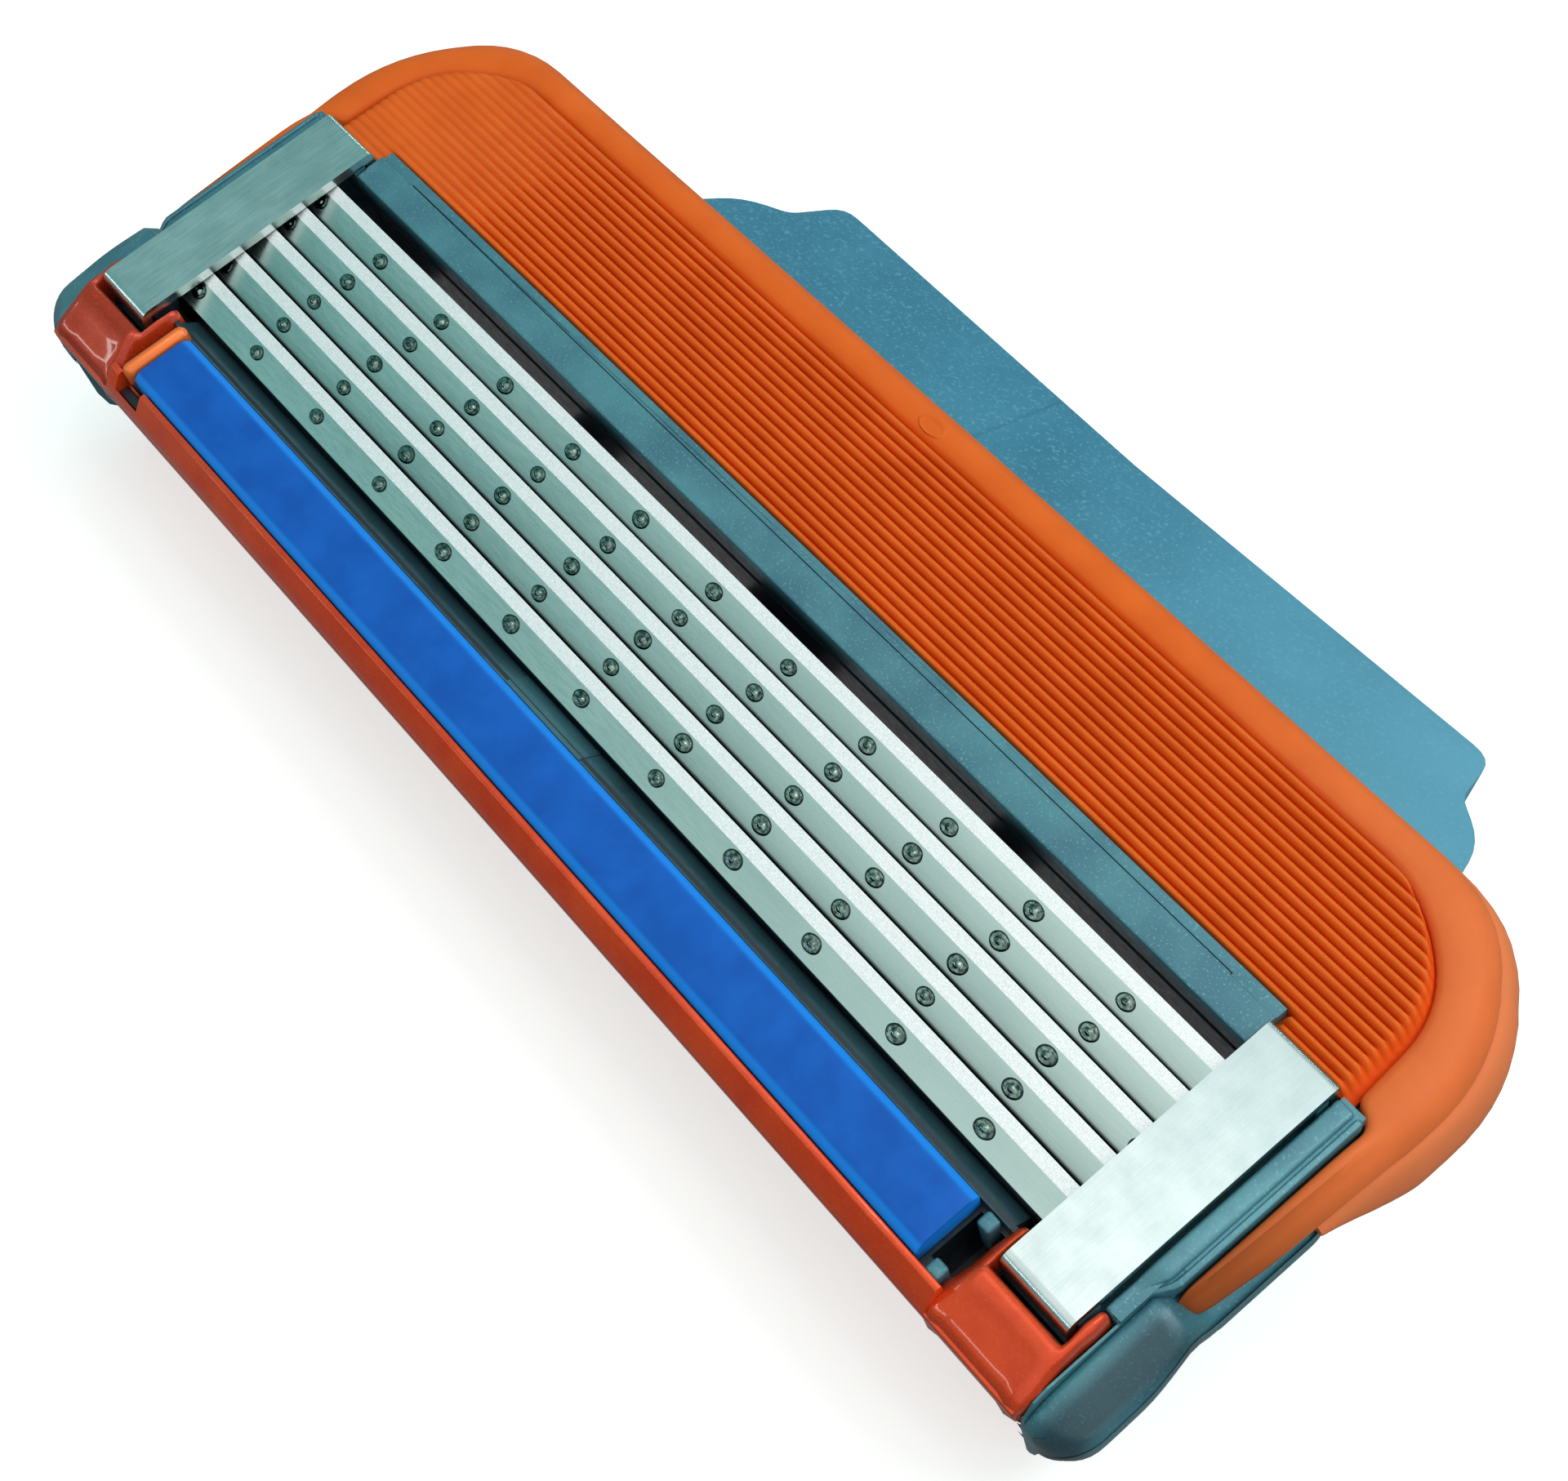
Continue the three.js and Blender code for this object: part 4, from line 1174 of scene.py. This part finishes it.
def end_rail(side):
    """The rounded rail outside a clip, with a fine lip; it narrows and sinks beside the lobe."""
    inner, outer = CLIP.x1 + 0.06, FRAME_SIDE + 0.03
    narrow = (LOBE_INNER_X - 0.02 - inner) / (outer - inner)
    outline = rounded(
        4,
        [inner, -0.6], [inner, RAIL_TOP, 0.12], [RAIL_LINE - 0.04, RAIL_TOP - 0.02, 0.1],
        [RAIL_LINE - 0.01, RAIL_TOP - 0.16, 0.03], [RAIL_LINE + 0.04, RAIL_TOP - 0.16, 0.03],
        [RAIL_LINE + 0.08, RAIL_TOP - 0.07, 0.03], [outer, RAIL_TOP - 0.1, 0.04],
        [outer, -0.6],
    )
    ends = soft_ends(-4.95, 1.78, 0.1, 4)
    half = len(ends) // 2
    between = [(lerp(TIP_END - 0.8, TIP_END + 0.6, i / 8), 0) for i in range(9)]
    sections = []
    for y, by in ends[:half] + between + ends[half:]:
        beside = smoothstep(y, TIP_END + 0.3, TIP_END - 0.5)
        ring = []
        for x, z in drawn_in(outline, by * 0.8):
            x = inner + (x - inner) * lerp(1, narrow, beside)
            ring.append(Vector((side * x, y, z - 0.12 * beside)))
        sections.append(ring)
    bm = lofted(sections)
    head_piece(f"end_rail_{end_name(side)}", bm, "housing_plastic", sharp=50)


def notch_shadow_block():
    """A dark block in the notch beside the strip's left end: a painted shadow for the hollow seen
    through the notch.
    """
    bm = bmesh.new()
    block(bm, -16.5, -15.42, -7.6, -7.3, -1.6, -0.62)
    bevel_edges(bm, 0.04, 1, 50)
    piece = head_piece("notch_painted_shadow", bm, "housing_plastic")
    values_from(piece, "shade", lambda p: 1)


CAP_RIB = 1.5


def cap_slope():
    """The dark slope between the strip and the last blade, with a low rib at its middle."""
    blade = BLADES[-1]
    rear, front = STRIP.y1 + 0.02, blade.y0
    top, foot = -0.22, -0.7
    bm = bmesh.new()
    for x0, x1, rise in ((-16.9, -CAP_RIB, 0), (-CAP_RIB, CAP_RIB, 0.05), (CAP_RIB, 16.9, 0)):
        outline = rounded(
            4,
            [rear, top - 0.5], [rear, top + rise, 0.04], [front, foot + rise, 0.05],
            [front, foot - 0.35],
        )
        stations = [lerp(x0, x1, i / 12) for i in range(13)]
        loft(bm, along_x(outline, stations))
    bevel_edges(bm, 0.02, 1, 60)
    piece = head_piece("cap_slope", bm, "housing_plastic")
    # Painted shade: the slope is painted dark, as it lies in shade between the strip and the last
    # blade; its rib is painted a little less dark.
    values_from(piece, "shade", lambda p: 0.5 if abs(p.x) < CAP_RIB + 0.02 else 0.8)


def strip_posts():
    """Two small posts in the hollow past the strip's right end."""
    bm = bmesh.new()
    half = 0.2
    for x, y in ((16.5, -5.52), (16.52, -7.0)):
        corners = ((-half, -half), (half, -half), (half, half), (-half, half))
        outline = rounded(4, *([x + a, y + b, 0.1] for a, b in corners))
        sections = []
        for z, by in soft_ends(-1.6, -0.15, 0.08, 3):
            sections.append([Vector((p[0], p[1], z)) for p in drawn_in(outline, by)])
        loft(bm, sections)
    head_piece("strip_end_posts", bm, "housing_plastic")


def spring_finger(n, side):
    name = f"spring_finger_{side}_{n}"
    bm = cad_mesh(name)
    long_edges = [e for e in bm.edges if e.calc_length() > 0.8]
    bmesh.ops.subdivide_edges(bm, edges=long_edges, cuts=7, use_grid_fill=True)
    bmesh.ops.triangulate(bm, faces=[f for f in bm.faces if len(f.verts) > 4])
    piece = finish_mesh(f"finger_{side}_{n}", bm, None, "housing_plastic", [name])
    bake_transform(piece)


# ---- Trimmer ----


def trimmer():
    for node, width in (("trimmer_blade", 0.015), ("trimmer_blade_support", 0.03)):
        bm = cad_mesh(node)
        bevel_edges(bm, width)
        slot = "support_steel" if "support" in node else "blade_steel"
        finish_mesh(node.replace("trimmer", "trimming"), bm, "head", slot, [node])


# ---- Assembly ----

for number in range(1, BLADE_COUNT + 1):
    ground_blade(number)
    weld_spots(number)
    blade_support(number)
    for end in ("left", "right"):
        spring_finger(number, end)
guard_fins()
guard_band()
guard_lip()
gate_mark()
for way in (-1, 1):
    bent_clip(way)
    corner_block(way)
    end_lobe(way)
    end_rail(way)
strip()
cover_shell()
strip_end_bar()
strip_posts()
cap_slope()
guard_bar()
notch_shadow_block()
housing_frame()
trimmer()
connector_hub()

# ---- Stage, lights and camera ----

FLOOR_SIZE = 3.0
FLOOR_DROP = 0.00005
DOME_RINGS = 10
DOME_TURNS = 32
DOME_RADIUS = FLOOR_SIZE * 0.48
DOME_DROP = 0.01


def staged(name, bm, material, unseen_by):
    """Scenery: an object that is no part of the razor, and that some kinds of ray pass by."""
    made = added(bpy.data.objects.new(name, mesh_from(name, bm)))
    made.data.materials.append(material)
    for ray in unseen_by:
        setattr(made, f"visible_{ray}", False)
    return made


def floor():
    bm = bmesh.new()
    bmesh.ops.create_grid(bm, x_segments=8, y_segments=8, size=FLOOR_SIZE / 2)
    made = staged("floor", bm, floor_paper(), ("diffuse", "glossy"))
    made.location.z = -FLOOR_DROP


def backdrop_paper():
    look = Look(
        "backdrop_paper",
        Roughness=1.0,
        Specular_IOR_Level=0.0,
        Emission_Color=STUDIO_WHITE,
        Emission_Strength=0.9,
    )
    look.colour(look.cloud(200.0, 0.3, 0.7, 0x101010, 0x141414))
    return look.material


def backdrop():
    """A pale dome over the floor, seen only by the camera."""
    bm = bmesh.new()
    rows = []
    for i in range(DOME_RINGS):
        rise = math.pi / 2 * i / DOME_RINGS
        out, up = DOME_RADIUS * math.cos(rise), DOME_RADIUS * math.sin(rise) - DOME_DROP
        places = [(out * math.cos(a), out * math.sin(a), up) for a in angles(DOME_TURNS)]
        rows.append([bm.verts.new(place) for place in places])
    for low, high in zip(rows, rows[1:]):
        for i in range(DOME_TURNS):
            j = (i + 1) % DOME_TURNS
            bm.faces.new((low[i], high[i], high[j], low[j]))
    bm.faces.new(list(reversed(rows[-1])))
    staged("backdrop", bm, backdrop_paper(), ("diffuse", "glossy", "shadow", "transmission"))


def aimed(name, data, where, right, back):
    """Puts a light or a camera in the scene, looking away from back."""
    made = added(bpy.data.objects.new(name, data))
    facing = Matrix((right, back.cross(right), back)).transposed().to_4x4()
    made.matrix_world = Matrix.Translation(where) @ facing
    return made


def area_light(name, way, distance, size, power):
    """A soft light that looks at the head from the given direction of the head's frame."""
    target = HEAD @ Vector((0, 0, 0))
    direction = (HEAD_TURN @ Vector(way)).normalized()
    side = Vector((1, 0, 0))
    side = (side - direction * side.dot(direction)).normalized()
    data = bpy.data.lights.new(name, "AREA")
    data.shape = "RECTANGLE"
    data.size, data.size_y = size
    data.energy = power
    aimed(name, data, target + direction * distance, side, direction)


SKY_WAY = Vector((0.45, -0.3, 0.84)).normalized()
SKY_EDGE = (0.36, 0.58)
SKY = (1.02, 1.05, 1.04, 1)
SURROUNDINGS = (0.17, 0.42, 0.42, 1)
GROUND = (0.22, 0.22, 0.22, 1)
GROUND_EDGE = (-0.15, 0.05)


def world():
    """A wide bright ceiling towards the lit side, teal-grey surroundings and a grey ground."""
    made = bpy.data.worlds.new("studio")
    nodes = Nodes(made)
    place = nodes.node("ShaderNodeTexCoord").outputs["Generated"]

    def layer(way, edge, below, above):
        """Colour below, then above, as the direction turns towards the given way."""
        towards = nodes.node("ShaderNodeVectorMath", operation="DOT_PRODUCT")
        towards.inputs[1].default_value = way
        nodes.join(place, towards.inputs[0])
        rise = nodes.ramp(towards.outputs["Value"], *edge, interpolation_type="SMOOTHSTEP")
        return nodes.mix(rise, below, above)

    ceiling = layer(SKY_WAY, SKY_EDGE, SURROUNDINGS, SKY)
    whole = layer((0, 0, 1), GROUND_EDGE, GROUND, ceiling)
    nodes.join(whole, nodes.tree.nodes["Background"].inputs["Color"])
    bpy.context.scene.world = made


CAMERA_EYE = Vector((30.93, -13.28, 51.86))
CAMERA_FORWARD = Vector((-0.4431, 0.2003, -0.8738))
CAMERA_UP = Vector((-0.6392, 0.6129, 0.4645))
SENSOR_WIDTH = 36
LENS = 57.94
CLIP_RANGE = (0.001, 100)


def camera():
    back = -(HEAD_TURN @ CAMERA_FORWARD).normalized()
    right = (HEAD_TURN @ CAMERA_UP).cross(back).normalized()
    data = bpy.data.cameras.new("camera")
    data.sensor_width = SENSOR_WIDTH
    data.lens = LENS
    data.clip_start, data.clip_end = CLIP_RANGE
    bpy.context.scene.camera = aimed("camera", data, HEAD @ CAMERA_EYE, right, back)


floor()
backdrop()
world()
area_light("key", (0.1, 0.3, 1.0), 0.35, (0.25, 0.25), 0.12)
area_light("side", (0.55, 0.6, 0.65), 0.09, (0.05, 0.05), 0.022)
area_light("glint", (0.07, 0.22, 0.97), 0.3, (0.012, 0.03), 0.03)
area_light("rear strip", (-0.5, -0.745, 0.44), 0.3, (0.3, 0.008), 0.08)
area_light("front strip", (-0.5, 0.835, 0.3), 0.3, (0.3, 0.006), 0.07)
camera()
bpy.context.scene.view_settings.view_transform = "Standard"
